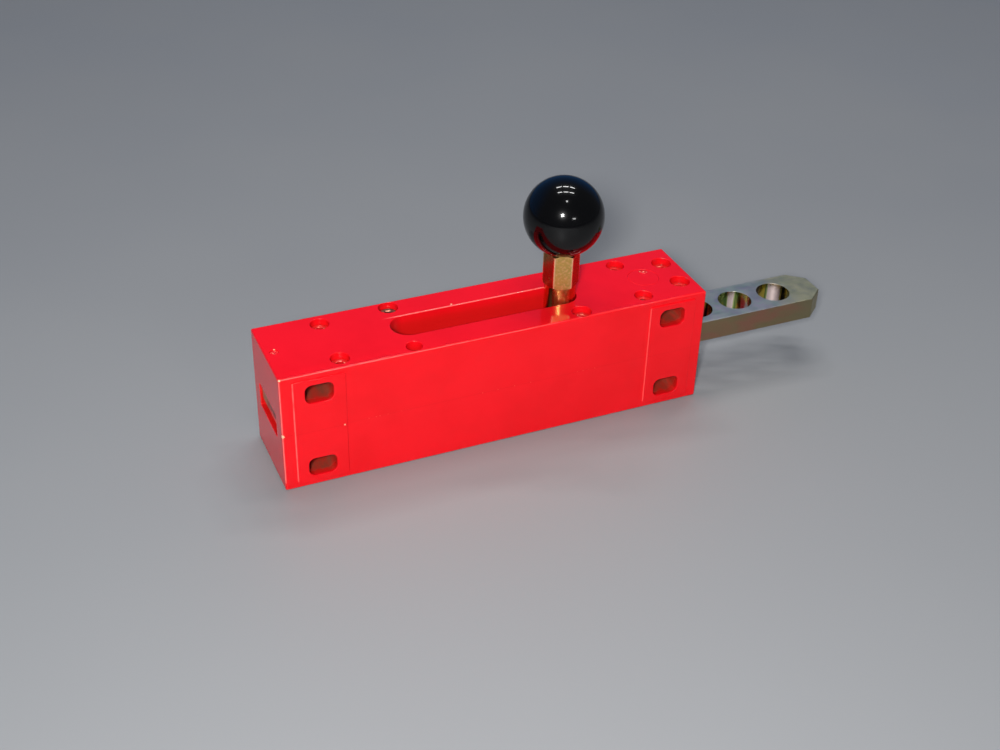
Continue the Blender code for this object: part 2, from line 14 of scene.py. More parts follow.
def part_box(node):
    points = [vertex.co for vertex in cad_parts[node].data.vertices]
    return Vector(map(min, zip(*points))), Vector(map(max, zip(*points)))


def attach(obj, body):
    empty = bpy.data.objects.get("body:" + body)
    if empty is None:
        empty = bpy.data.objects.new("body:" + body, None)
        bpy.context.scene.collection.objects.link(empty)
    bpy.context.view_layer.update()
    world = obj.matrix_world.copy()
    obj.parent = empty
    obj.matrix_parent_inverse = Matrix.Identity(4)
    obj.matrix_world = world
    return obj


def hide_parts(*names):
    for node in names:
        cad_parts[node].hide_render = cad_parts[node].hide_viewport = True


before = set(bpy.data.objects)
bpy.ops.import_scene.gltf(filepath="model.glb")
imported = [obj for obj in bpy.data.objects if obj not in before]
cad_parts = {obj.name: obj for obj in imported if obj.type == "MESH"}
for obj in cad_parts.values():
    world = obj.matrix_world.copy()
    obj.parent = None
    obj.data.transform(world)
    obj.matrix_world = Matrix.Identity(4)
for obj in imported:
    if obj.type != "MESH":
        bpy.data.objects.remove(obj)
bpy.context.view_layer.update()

MM = 0.001
OVERRUN = 2 * MM

# Sizes read from the frame
UPPER_LOW, UPPER_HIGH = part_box("housing_upper")
LOWER_LOW, LOWER_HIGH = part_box("housing_lower")
BAR_LOW, BAR_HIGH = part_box("bolt_bar")
STEM_LOW, STEM_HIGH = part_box("handle_stem")
BALL_LOW, BALL_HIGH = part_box("ball_knob")
TOP_Z = UPPER_HIGH.z
END_X = UPPER_HIGH.x
BACK_Y = UPPER_HIGH.y
SPLIT_Z = (UPPER_LOW.z + LOWER_HIGH.z) / 2
STEM_X = (STEM_LOW.x + STEM_HIGH.x) / 2

# Housing details
PAD_RISE = 0.6 * MM
FRONT_Y = UPPER_LOW.y + PAD_RISE
PAD_INNER_X = 63.5 * MM
PAD_OUTER_X = 84.14 * MM
PAD_MARGIN_Z = 2.2 * MM
PAD_ROOT = 3 * MM
PAD_CORNER = 1.0 * MM
PAD_EDGE = 0.35 * MM
HOUSING_EDGE = 0.8 * MM
SEAM = 0.02 * MM
LIP = 0.4 * MM
SMALL_LIP = 0.3 * MM
SLOT_HALF_X = 5.556 * MM
SLOT_HALF_Z = 3.969 * MM
SLOT_CORNER = 2.6 * MM
SLOT_X = (PAD_INNER_X + PAD_OUTER_X) / 2
SLOT_RISE = 16.67 * MM
CHANNEL_GAP = 0.3 * MM
CHANNEL_CORNER = 0.6 * MM
HANDLE_SLOT_HALF_X = 38.9 * MM
HANDLE_SLOT_RADIUS = 7.144 * MM
POCKET_GAP = 0.3 * MM
STRIP_POCKET_RISE = 0.1 * MM
SHANK_GAP = 0.2 * MM
TOP_PLUG_BORE_RADIUS = 6.4 * MM
TOP_PLUG_LIP = 0.16 * MM
TOP_PLUG_EDGE = 0.14 * MM
TOP_PLUG_DOME = 0.05 * MM
PIN_BORE_RADIUS = 1.6 * MM
PIN_LIP = 0.2 * MM
PIN_EDGE = 0.35 * MM
DOWEL_MOUTH_RADIUS = 3.2 * MM
DOWEL_BORE_RADIUS = 2.5 * MM
DOWELS = ("dowel_pin_1", "dowel_pin_2")
REAR_PLUG_CUT = 3.6 * MM
REAR_PLUG_EDGE = 0.5 * MM

# Screws by kind: head radius, head height, shank radius, radius of the bore over the head
HEADS = {
    "front_guide_screw": (3.43 * MM, 4.0 * MM, 2.0 * MM, 3.7 * MM),
    "rear_guide_screw": (3.43 * MM, 4.0 * MM, 2.0 * MM, 3.7 * MM),
    "end_guide_screw": (3.75 * MM, 2.4 * MM, 2.3 * MM, 4.05 * MM),
    "clamp_screw": (3.6 * MM, 4.8 * MM, 2.3 * MM, 3.9 * MM),
}
SCREWS = [f"{kind}_{number}" for kind in HEADS for number in (1, 2)]
BARE_SCREW = "clamp_screw_1"
SCREW_EDGE = 0.35 * MM
SOCKET_CHAMFER = 0.4 * MM
SOCKET_CORNER = 0.1 * MM
SOCKET_TURN = 0.3
SOCKET_DEPTH_SHARE = 0.5
SOCKET_SIZE_SHARE = 0.46

# Bar details
BAR_EDGE = 0.45 * MM
TIP_CHAMFER_X = 7 * MM
TIP_CHAMFER_Y = 6 * MM
LOCK_HOLE_RADIUS = 7.144 * MM
LOCK_HOLE_PITCH = 19.05 * MM
LAST_LOCK_HOLE_X = BAR_HIGH.x - 20.2 * MM
HOLE_LIP = 0.12 * MM
STEM_HOLE_LIP = 0.25 * MM
STEM_HOLE_GAP = 0.2 * MM

# Stem and ball details
HEX_FLATS = 12.7 * MM
HEX_TURN = math.radians(11.6)
# The satin flat, facing the key, is the one left lit
LIT_SATIN_FLAT = HEX_TURN + math.radians(240)
HEX_CORNER = 0.35 * MM
HEX_BOTTOM_Z = 56.5 * MM
HEX_CHAMFER = 0.9 * MM
HEX_BARREL_GAP = 0.2 * MM
HEX_TO_BALL = 0.25 * MM
NECK_RADIUS = 6.35 * MM
NECK_EDGE = 0.3 * MM
NECK_TO_BAR = 0.2 * MM
THREAD_RADIUS = 4.6 * MM
THREAD_CHAMFER = 0.6 * MM
BALL_RADIUS = (BALL_HIGH.x - BALL_LOW.x) / 2
BALL_Z = BALL_HIGH.z - BALL_RADIUS
BALL_FLAT_RADIUS = 7 * MM
BALL_BORE_RADIUS = 6.3 * MM
BALL_BORE_GAP = 0.4 * MM
BALL_EDGE = 0.15 * MM
BALL_EDGE_DEGREES = 1.2

# Camera, as a view round the housing
AIM = Vector((7.3 * MM, 0, 17.9 * MM))
AZIMUTH = math.radians(-24.14)
ELEVATION = math.radians(34.19)
DISTANCE = 583 * MM
ROLL = math.radians(1.76)
LENS = 51.66
SENSOR_WIDTH = 36

# Lamps: sizes in metres, powers in watts, places as right, up and back of the ball in the camera's view
KEY_SIZE = 0.08
KEY_POWER = 7.3
KEY_BACK = 0.80
KEY_LEFT = 0.06
STRIP_SIZE = (0.27, 0.06)
STRIP_POWER = 1.9
STRIP_ROWS = ((0.99, 0.125), (0.891, 0.445))
STRIP_PITCH = 0.235
STRIP_SHIFT = 0.06
STRIP_DISTANCE = 1.5
SMALL_LAMPS = (
    ("spot", (0.10, 0.566, 0.818), 1.5, (0.12, 0.12), 1.1),
    ("low strip", (0.436, -0.219, 0.873), 1.1, (0.17, 0.07), 0.7),
)

# Surroundings
FLOOR_SIZE = 3.0
FLOOR_GAP = 0.05 * MM
FLOOR_GREYS = ((0.240, 0.245, 0.250), (0.266, 0.271, 0.276))
SKY_GREY = (0.36, 0.39, 0.46)
FAR_BLUE = (0.15, 0.50, 1.30)
SKY_STRENGTH = 0.20

LIP_STEPS = 4
PAD_EDGE_STEPS = 4
DOME_STEPS = 8
BALL_STEPS = 60
ROUND_STEPS = 64
SMALL_STEPS = 40
HIDDEN_STEPS = 24
STEM_STEPS = 96
CORNER_STEPS = 10
SMOOTH_ANGLE = math.radians(32)


# ---- meshes ----


def mesh_object(name, bm):
    bmesh.ops.recalc_face_normals(bm, faces=bm.faces)
    mesh = bpy.data.meshes.new(name)
    bm.to_mesh(mesh)
    bm.free()
    piece = bpy.data.objects.new(name, mesh)
    bpy.context.scene.collection.objects.link(piece)
    return piece


def rounded_outline(half_u, half_v, corner, steps=CORNER_STEPS):
    """A function of an offset: the points of a rounded rectangle grown outwards by that much."""

    def points(offset):
        found = []
        centres = [(1, 1, 0), (-1, 1, 90), (-1, -1, 180), (1, -1, 270)]
        for side_u, side_v, start in centres:
            for step in range(steps + 1):
                angle = math.radians(start + 90 * step / steps)
                u = side_u * (half_u - corner) + (corner + offset) * math.cos(angle)
                v = side_v * (half_v - corner) + (corner + offset) * math.sin(angle)
                found.append((u, v))
        return found

    return points


def circle_outline(radius, steps=SMALL_STEPS):
    def points(offset):
        angles = [2 * math.pi * step / steps for step in range(steps)]
        return [((radius + offset) * math.cos(a), (radius + offset) * math.sin(a)) for a in angles]

    return points


def fixed_outline(corners):
    """An outline through the corners that stays the same at every offset."""
    return lambda offset: corners


def polygon_outline(apothem, sides, corner, turn, steps=4):
    """A function of an offset: a regular polygon with rounded corners, one flat facing turn."""

    def points(offset):
        found = []
        reach = (apothem - corner) / math.cos(math.pi / sides)
        for side in range(sides):
            middle = turn + (side + 0.5) * 2 * math.pi / sides
            for step in range(steps + 1):
                angle = middle + (step / steps - 0.5) * 2 * math.pi / sides
                u = reach * math.cos(middle) + (corner + offset) * math.cos(angle)
                v = reach * math.sin(middle) + (corner + offset) * math.sin(angle)
                found.append((u, v))
        return found

    return points


def loft(name, outline, levels, centre=(0, 0, 0), axis="Z"):
    """A closed solid through (offset, height) levels along an axis."""
    places = {"X": lambda u, v, h: (h, u, v), "Y": lambda u, v, h: (u, h, v), "Z": lambda u, v, h: (u, v, h)}
    place = places[axis]
    centre = Vector(centre)
    bm = bmesh.new()
    rings = []
    for offset, height in levels:
        rings.append([bm.verts.new(Vector(place(u, v, height)) + centre) for u, v in outline(offset)])
    for low, high in zip(rings, rings[1:]):
        count = len(low)
        for i in range(count):
            bm.faces.new((low[i], low[(i + 1) % count], high[(i + 1) % count], high[i]))
    bm.faces.new(rings[0])
    bm.faces.new(rings[-1])
    return mesh_object(name, bm)


def lathe(name, profile, centre, steps=ROUND_STEPS):
    """A solid turned about Z from (radius, height) points; a point of radius 0 is a pole."""
    bm = bmesh.new()
    rings = []
    for radius, height in profile:
        if radius < 1e-9:
            rings.append([bm.verts.new((centre[0], centre[1], height))])
            continue
        ring = []
        for step in range(steps):
            angle = 2 * math.pi * step / steps
            x = centre[0] + radius * math.cos(angle)
            y = centre[1] + radius * math.sin(angle)
            ring.append(bm.verts.new((x, y, height)))
        rings.append(ring)
    for first, second in zip(rings, rings[1:]):
        for i in range(steps):
            j = (i + 1) % steps
            if len(first) == 1:
                bm.faces.new((first[0], second[i], second[j]))
            elif len(second) == 1:
                bm.faces.new((first[i], first[j], second[0]))
            else:
                bm.faces.new((first[i], first[j], second[j], second[i]))
    return mesh_object(name, bm)


def arc(centre, radius, start, end, steps=LIP_STEPS):
    """Points of an arc in the profile plane, angles in degrees."""
    points = []
    for step in range(steps + 1):
        angle = math.radians(start + (end - start) * step / steps)
        points.append((centre[0] + radius * math.cos(angle), centre[1] + radius * math.sin(angle)))
    return points


def mouth_levels(low, high, lip_low=0.0, lip_high=0.0):
    """Levels of a cutter between low and high whose mouths are rounded by the lips."""
    levels = []
    if lip_low:
        levels.append((lip_low, low - OVERRUN))
        for step in range(LIP_STEPS + 1):
            angle = math.pi / 2 * step / LIP_STEPS
            levels.append((lip_low * (1 - math.sin(angle)), low + lip_low * (1 - math.cos(angle))))
    else:
        levels.append((0.0, low))
    if lip_high:
        for step in range(LIP_STEPS + 1):
            angle = math.pi / 2 * step / LIP_STEPS
            levels.append((lip_high * (1 - math.cos(angle)), high - lip_high * (1 - math.sin(angle))))
        levels.append((lip_high, high + OVERRUN))
    else:
        levels.append((0.0, high))
    return levels


def box_solid(name, low, high, edge=0.0, segments=5):
    """A box between two corners, its edges rounded if an edge radius is given."""
    bm = bmesh.new()
    bmesh.ops.create_cube(bm, size=1.0)
    size = Vector(high) - Vector(low)
    bmesh.ops.scale(bm, vec=size, verts=bm.verts)
    bmesh.ops.translate(bm, vec=(Vector(high) + Vector(low)) / 2, verts=bm.verts)
    if edge:
        bmesh.ops.bevel(bm, geom=bm.edges[:], offset=edge, segments=segments, profile=0.5, affect="EDGES")
    return mesh_object(name, bm)


def carve(piece, others, operation="DIFFERENCE"):
    """Applies the Booleans and removes the other solids."""
    for other in others:
        step = piece.modifiers.new(other.name, "BOOLEAN")
        step.operation = operation
        step.solver = "EXACT"
        step.object = other
    graph = bpy.context.evaluated_depsgraph_get()
    mesh = bpy.data.meshes.new_from_object(piece.evaluated_get(graph))
    piece.modifiers.clear()
    piece.data = mesh
    for other in others:
        bpy.data.objects.remove(other, do_unlink=True)
    return piece


def finish_piece(piece, material, body, slot, *nodes):
    """Shades a piece, gives it its material and makes it stand for its CAD nodes."""
    piece.data.materials.clear()
    piece.data.materials.append(material)
    piece.data.shade_smooth()
    piece.data.set_sharp_from_angle(angle=SMOOTH_ANGLE)
    normals = piece.modifiers.new("flat faces stay flat", "WEIGHTED_NORMAL")
    normals.keep_sharp = True
    normals.weight = 100
    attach(piece, body)
    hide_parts(*nodes)
    return piece


# ---- materials ----


class Nodes:
    """A tree of nodes, added to by short calls."""

    def __init__(self, tree):
        self.tree = tree

    def node(self, kind, inputs=None, **settings):
        made = self.tree.nodes.new(kind)
        for key, value in settings.items():
            setattr(made, key, value)
        for key, value in (inputs or {}).items():
            self.feed(made.inputs[key], value)
        return made

    def feed(self, socket, value):
        if isinstance(value, bpy.types.NodeSocket):
            self.tree.links.new(value, socket)
        else:
            socket.default_value = value

    def math(self, operation, first, second=0.5, third=0.5, clamp=False):
        made = self.node("ShaderNodeMath", {0: first, 1: second, 2: third}, operation=operation)
        made.use_clamp = clamp
        return made.outputs[0]

    def mix(self, factor, first, second):
        made = self.node("ShaderNodeMix", data_type="RGBA")
        self.feed(made.inputs[0], factor)
        self.feed(made.inputs[6], (*first, 1.0) if isinstance(first, tuple) else first)
        self.feed(made.inputs[7], (*second, 1.0) if isinstance(second, tuple) else second)
        return made.outputs[2]


class Shader(Nodes):
    """A material's nodes, painted by places and directions on the piece itself."""

    NAMES = {
        "coat": "Coat Weight",
        "coat_roughness": "Coat Roughness",
        "color": "Base Color",
        "metallic": "Metallic",
        "normal": "Normal",
        "roughness": "Roughness",
        "specular": "Specular IOR Level",
    }

    def __init__(self, name):
        self.material = bpy.data.materials.new(name)
        self.material.use_nodes = True
        super().__init__(self.material.node_tree)
        self.principled = self.tree.nodes["Principled BSDF"]
        self.place = self.tree.nodes.new("ShaderNodeTexCoord")
        self.split = self.node("ShaderNodeSeparateXYZ", {"Vector": self.place.outputs["Object"]})

    def set(self, **values):
        """Feeds the surface's inputs with links or fixed values, and gives back the material."""
        for key, value in values.items():
            self.feed(self.principled.inputs[self.NAMES[key]], value)
        return self.material

    def noise(self, scale, detail=3.0, roughness=0.55, stretch=None, distortion=0.0):
        place = self.place.outputs["Object"]
        if stretch:
            place = self.node("ShaderNodeMapping", {"Vector": place, "Scale": stretch}).outputs[0]
        inputs = {"Vector": place, "Scale": scale, "Detail": detail, "Roughness": roughness}
        return self.node("ShaderNodeTexNoise", {**inputs, "Distortion": distortion}).outputs["Fac"]

    def ramp(self, value, low, high, to_low=0.0, to_high=1.0):
        """A smooth step from to_low at low to to_high at high."""
        made = self.node(
            "ShaderNodeMapRange",
            {"Value": value, "From Min": low, "From Max": high, "To Min": to_low, "To Max": to_high},
        )
        made.interpolation_type = "SMOOTHSTEP"
        return made.outputs[0]

    def bump(self, height, strength, distance, normal=None):
        inputs = {"Height": height, "Strength": strength, "Distance": distance}
        if normal is not None:
            inputs["Normal"] = normal
        return self.node("ShaderNodeBump", inputs).outputs[0]

    def within(self, value, low, high, soft):
        """1 where the value lies between low and high, with soft edges."""
        rises = self.ramp(value, low - soft, low + soft)
        falls = self.ramp(value, high - soft, high + soft, 1.0, 0.0)
        return self.math("MULTIPLY", rises, falls)

    def near(self, spot, radius, soft):
        """1 within a radius of a spot, with a ragged edge."""
        places = {0: self.place.outputs["Object"], 1: spot}
        apart = self.node("ShaderNodeVectorMath", places, operation="DISTANCE")
        ragged = self.math("MULTIPLY_ADD", self.noise(1800, 2), radius, apart.outputs["Value"])
        return self.ramp(ragged, radius * 1.5 - soft, radius * 1.5 + soft, 1.0, 0.0)

    def any_of(self, masks):
        found = masks[0]
        for mask in masks[1:]:
            found = self.math("MAXIMUM", found, mask)
        return found


# Colours, as linear red, green and blue
RED = (0.80, 0.0045, 0.0105)
DEEP_RED = (0.74, 0.0035, 0.008)
THIN_PAINT_HIGHLIGHT_RED = (1.0, 0.17, 0.155)
SHADED_RED = (0.50, 0.008, 0.005)
OVERSPRAY = (0.44, 0.018, 0.010)
BARE = (0.200, 0.044, 0.024)
BARE_LIGHT = (0.26, 0.13, 0.08)
PRIMER = (0.85, 0.52, 0.32)
SEAM_MARK = (0.95, 0.16, 0.10)
WORN_RIM_AND_GLINT = (0.78, 0.30, 0.20)
DARK_SPECK = (0.12, 0.03, 0.02)
PLUG_REDS = ((0.84, 0.008, 0.010), (0.66, 0.010, 0.010))
PLUG_SHADE = (0.26, 0.022, 0.015)
PLUG_TANS = ((0.66, 0.22, 0.08), (0.52, 0.10, 0.05))
PLUG_OLIVE = (0.26, 0.30, 0.14)
BAR_FLATS = ((0.365, 0.410, 0.370), (0.400, 0.370, 0.418))
BAR_GREEN = (0.343, 0.445, 0.380)
BAR_OLIVES = ((0.475, 0.439, 0.286), (0.431, 0.417, 0.251))
BAR_SIDES_TINT_AND_REFLECTION = ((0.335, 0.265, 0.145), (0.430, 0.215, 0.145))
BAR_SIDE_AT_TIP = (0.310, 0.270, 0.155)
GOLDS = ((0.62, 0.385, 0.105), (0.52, 0.37, 0.105))
GOLD_GRAIN = (0.76, 0.45, 0.19)
GOLD_CORNER_WEAR_AND_HIGHLIGHT = (0.92, 0.60, 0.34)
GOLD_SHADE = (0.05, 0.02, 0.008)
BLACKS = ((0.0010, 0.0010, 0.0012), (0.0022, 0.0022, 0.0024))
BRONZES = ((0.46, 0.27, 0.11), (0.36, 0.22, 0.10))
STEELS = ((0.36, 0.35, 0.34), (0.52, 0.51, 0.50))
OXIDES = ((0.10, 0.075, 0.055), (0.26, 0.19, 0.13))
SCREW_RED = (0.55, 0.012, 0.012)

# Painted reflections and a highlight streaked down the walls of the bar's holes, over the plate's own tints:
# where each begins and is full in the noise, and its colour
HOLE_REFLECTION_DARK = (0.016, 0.014, 0.006)
HOLE_REFLECTION_STREAKS = (
    (0.38, 0.43, (0.58, 0.44, 0.07)),
    (0.48, 0.50, (0.12, 0.20, 0.055)),
    (0.53, 0.55, (0.44, 0.52, 0.20)),
    (0.58, 0.61, (1.0, 0.80, 0.76)),
)

# Chips down to the primer, and three painted glints by the top plug's far edge: place and radius
CHIPS_AND_GLINTS = (
    ((-END_X + 0.3 * MM, FRONT_Y + 0.3 * MM, SPLIT_Z), 0.70 * MM),
    ((-END_X + 0.5 * MM, FRONT_Y + 0.4 * MM, TOP_Z - 0.4 * MM), 0.40 * MM),
    ((-26.2 * MM, 6.9 * MM, TOP_Z), 0.30 * MM),
    ((-10.9 * MM, 8.2 * MM, TOP_Z), 0.35 * MM),
    ((-64.7 * MM, FRONT_Y - PAD_RISE, SPLIT_Z), 0.30 * MM),
    # Painted glints: three pale spots at the top plug's far edge
    ((70.9 * MM, 4.7 * MM, TOP_Z), 0.22 * MM),
    ((72.3 * MM, 4.3 * MM, TOP_Z), 0.26 * MM),
    ((73.4 * MM, 3.4 * MM, TOP_Z), 0.20 * MM),
    ((-84.6 * MM, 1.4 * MM, TOP_Z), 0.35 * MM),
    ((-86.2 * MM, -0.6 * MM, TOP_Z), 0.28 * MM),
)
CHIP_SOFTNESS = 0.12 * MM

# Lighter flecks along the seam, as places along X in millimetres
SEAM_FLECKS = (-55.0, -52.1, -50.6, -8.4, -1.9, 5.2, 12.1, 40.3)
SEAM_FLECK_RADIUS = 0.16 * MM


def paint_bumps(shader):
    """Orange peel, a few dust nibs under the paint, and a crust of it behind the top plug's middle."""
    peel = shader.noise(420, 2, 0.5)
    ripple = shader.noise(60, 2, 0.5)
    spread = {"Vector": shader.place.outputs["Object"], "Scale": 130.0, "Randomness": 1.0}
    cells = shader.node("ShaderNodeTexVoronoi", spread)
    nib = shader.ramp(cells.outputs["Distance"], 0.03, 0.09, 1.0, 0.0)
    chosen = shader.math("GREATER_THAN", shader.noise(47, 0), 0.62)
    nib = shader.math("MULTIPLY", nib, chosen)
    normal = shader.bump(ripple, 0.10, 0.4 * MM)
    normal = shader.bump(peel, 0.12, 0.06 * MM, normal)
    normal = shader.bump(nib, 0.5, 0.06 * MM, normal)
    plug = node_spot("top_plug")
    crust = shader.near((plug[0] + 2.0 * MM, plug[1] + 4.1 * MM, TOP_Z), 1.3 * MM, 0.6 * MM)
    crust = shader.math("MULTIPLY", crust, shader.noise(1100, 2))
    return shader.bump(crust, 1.0, 0.9 * MM, normal)


def thin_paint_and_highlight(shader, x, y, z):
    """1 on the sharp edges: a lighter line, partly thinned paint and partly painted highlight.

    They are the left corner, each pad's left edge, the top front edge and the handle slot's far rim;
    along the last two, fading along X on the front edge, it is painted highlight.
    """
    away_corner = shader.math("ADD", shader.math("SUBTRACT", x, -END_X), shader.math("SUBTRACT", y, FRONT_Y))
    corner = shader.ramp(away_corner, 0.46 * MM, 0.62 * MM, 1.0, 0.0)
    proud = shader.math("LESS_THAN", y, FRONT_Y - 0.08 * MM)
    left_pad = shader.within(x, -PAD_OUTER_X - 0.3 * MM, -PAD_OUTER_X + 0.45 * MM, 0.1 * MM)
    right_pad = shader.within(x, PAD_INNER_X - 0.3 * MM, PAD_INNER_X + 0.3 * MM, 0.1 * MM)
    right_pad = shader.math("MULTIPLY", right_pad, 0.35)
    left_pad = shader.math("MULTIPLY", left_pad, 0.6)
    pads = shader.math("MULTIPLY", shader.math("MAXIMUM", left_pad, right_pad), proud)
    tall = shader.within(z, 3.5 * MM, TOP_Z - 1.0 * MM, 0.5 * MM)
    uneven = shader.ramp(shader.noise(240, 3), 0.25, 0.55, 0.45, 1.0)
    upright = shader.math("MULTIPLY", shader.math("MAXIMUM", corner, pads), tall)

    below_top = shader.math("SUBTRACT", TOP_Z, z)
    # Painted highlight along the top front edge and the handle slot's far rim
    away_edge = shader.math("ADD", below_top, shader.math("SUBTRACT", y, FRONT_Y))
    front_edge = shader.ramp(away_edge, 0.465 * MM, 0.512 * MM, 1.0, 0.0)
    front_edge = shader.math("MULTIPLY", front_edge, shader.ramp(x, 5 * MM, 34 * MM, 1.0, 0.25))
    past_slot = shader.math("ABSOLUTE", shader.math("SUBTRACT", y, HANDLE_SLOT_RADIUS + 0.1 * MM))
    slot_edge = shader.ramp(shader.math("ADD", past_slot, below_top), 0.22 * MM, 0.42 * MM, 1.0, 0.0)
    slot_edge = shader.math("MULTIPLY", slot_edge, shader.within(x, -37 * MM, 33 * MM, 4 * MM))
    level = shader.math("MULTIPLY", shader.math("MAXIMUM", front_edge, slot_edge), 0.85)
    return shader.math("MULTIPLY", shader.math("MAXIMUM", upright, level), uneven)


def inside_slots(shader, away_x, away_y, away_z):
    """1 on the walls of the mounting slots, behind a ragged line near their mouths."""
    slot_x = shader.within(away_x, SLOT_X - SLOT_HALF_X - MM, SLOT_X + SLOT_HALF_X + MM, 0.1 * MM)
    slot_z = shader.within(away_z, SLOT_RISE - SLOT_HALF_Z - MM, SLOT_RISE + SLOT_HALF_Z + MM, 0.1 * MM)
    ragged = shader.math("MULTIPLY_ADD", shader.noise(260, 3), 5 * MM, away_y)
    in_slot = shader.math("MULTIPLY", slot_x, slot_z)
    return shader.math("MULTIPLY", in_slot, shader.ramp(ragged, 17.5 * MM, 21.5 * MM, 1.0, 0.0))


def inside_channel(shader, away_x, away_y, z):
    """1 on the walls of the bar's channel, behind a ragged line near its ends."""
    ragged = shader.math("MULTIPLY_ADD", shader.noise(300, 3), 3 * MM, away_x)
    height = shader.within(z, 18.0 * MM, 36.8 * MM, 0.05 * MM)
    in_channel = shader.math("MULTIPLY", height, shader.math("LESS_THAN", away_y, 16.4 * MM))
    return shader.math("MULTIPLY", in_channel, shader.ramp(ragged, 85.5 * MM, 88.5 * MM, 1.0, 0.0))


def seam_chips_and_glints(shader, away_z):
    """Where the seam is, where its lighter marks are, and where the paint is chipped or a glint is painted.
    """
    on_seam = shader.ramp(away_z, 0.06 * MM, 0.20 * MM, 1.0, 0.0)
    flecks = shader.ramp(shader.noise(900, 2, 0.6), 0.60, 0.66)
    patches = shader.ramp(shader.noise(50, 1), 0.52, 0.60, 0.0, 0.7)
    marks = shader.math("MULTIPLY", shader.math("MULTIPLY", on_seam, flecks), patches)
    chips_and_glints = shader.any_of([shader.near(spot, radius, CHIP_SOFTNESS) for spot, radius in CHIPS_AND_GLINTS])
    places = [(along * MM, FRONT_Y, SPLIT_Z) for along in SEAM_FLECKS]
    flecks = [shader.near(place, SEAM_FLECK_RADIUS, CHIP_SOFTNESS) for place in places]
    return on_seam, shader.any_of(flecks + [marks]), chips_and_glints


def depth_in_hollows(shader, away_x, away_y, z):
    """How far the shade inside the bores and the handle slot goes, and 0 on the outer faces."""
    deep = shader.ramp(z, TOP_Z - 5 * MM, TOP_Z - 0.5 * MM, 0.62, 0.0)
    deep = shader.math("MULTIPLY", deep, shader.math("LESS_THAN", away_y, BACK_Y - 0.25 * MM))
    return shader.math("MULTIPLY", deep, shader.math("LESS_THAN", away_x, END_X - 0.25 * MM))


def red_paint():
    """Thick glossy red, chipped to primer in a few places, dirty and half bare in the slots and channel, with
    painted shade in the hollows and along the seam, and painted highlights and glints on edges and by the top
    plug.
    """
    shader = Shader("red_gloss_paint")
    x, y, z = (shader.split.outputs[axis] for axis in "XYZ")
    away_x = shader.math("ABSOLUTE", x)
    away_y = shader.math("ABSOLUTE", y)
    away_z = shader.math("ABSOLUTE", shader.math("SUBTRACT", z, SPLIT_Z))
    in_slot = inside_slots(shader, away_x, away_y, away_z)
    in_channel = inside_channel(shader, away_x, away_y, z)
    on_seam, marks, chips_and_glints = seam_chips_and_glints(shader, away_z)

    colour = shader.mix(shader.ramp(shader.noise(34, 3), 0.35, 0.7), RED, DEEP_RED)
    # Lighter edge lines: partly thinned paint, partly painted highlight
    colour = shader.mix(thin_paint_and_highlight(shader, x, y, z), colour, THIN_PAINT_HIGHLIGHT_RED)
    # Painted shade inside the bores and the handle slot
    colour = shader.mix(depth_in_hollows(shader, away_x, away_y, z), colour, SHADED_RED)
    dirt = shader.ramp(shader.noise(220, 4, 0.6, stretch=(1.0, 0.35, 1.0)), 0.30, 0.70)
    colour = shader.mix(in_slot, colour, shader.mix(dirt, OVERSPRAY, BARE))
    colour = shader.mix(in_channel, colour, shader.mix(shader.noise(180, 4), BARE, BARE_LIGHT))
    # Painted shade: a faint darker line in the seam's hairline gap
    colour = shader.mix(shader.math("MULTIPLY", on_seam, 0.14), colour, SHADED_RED)
    colour = shader.mix(shader.math("MULTIPLY", marks, 0.7), colour, SEAM_MARK)
    # Primer chips, and painted glints by the top plug
    colour = shader.mix(chips_and_glints, colour, PRIMER)

    gloss = shader.ramp(shader.noise(150, 4), 0.3, 0.75, 0.09, 0.17)
    smudge = shader.ramp(shader.noise(22, 4, 0.65), 0.55, 0.75, 0.0, 0.09)
    rough = shader.math("ADD", gloss, smudge)
    rough = shader.math("MULTIPLY_ADD", shader.math("MAXIMUM", in_slot, in_channel), 0.30, rough)
    rough = shader.math("MULTIPLY_ADD", chips_and_glints, 0.3, rough, clamp=True)
    metallic = shader.math("MULTIPLY", in_channel, 0.85)
    shader.set(specular=0.33)
    return shader.set(color=colour, roughness=rough, metallic=metallic, normal=paint_bumps(shader))


def speckled_paint():
    """Red paint over a pin's end, broken by cream and dark specks."""
    shader = Shader("speckled_red_paint")
    fine = shader.noise(1500, 2)
    colour = shader.mix(shader.noise(34, 3), RED, DEEP_RED)
    colour = shader.mix(shader.ramp(fine, 0.58, 0.62), colour, PRIMER)
    colour = shader.mix(shader.ramp(fine, 0.36, 0.40, 1.0, 0.0), colour, DARK_SPECK)
    rough = shader.ramp(fine, 0.4, 0.6, 0.2, 0.4)
    return shader.set(color=colour, roughness=rough, normal=shader.bump(fine, 0.5, 0.2 * MM))


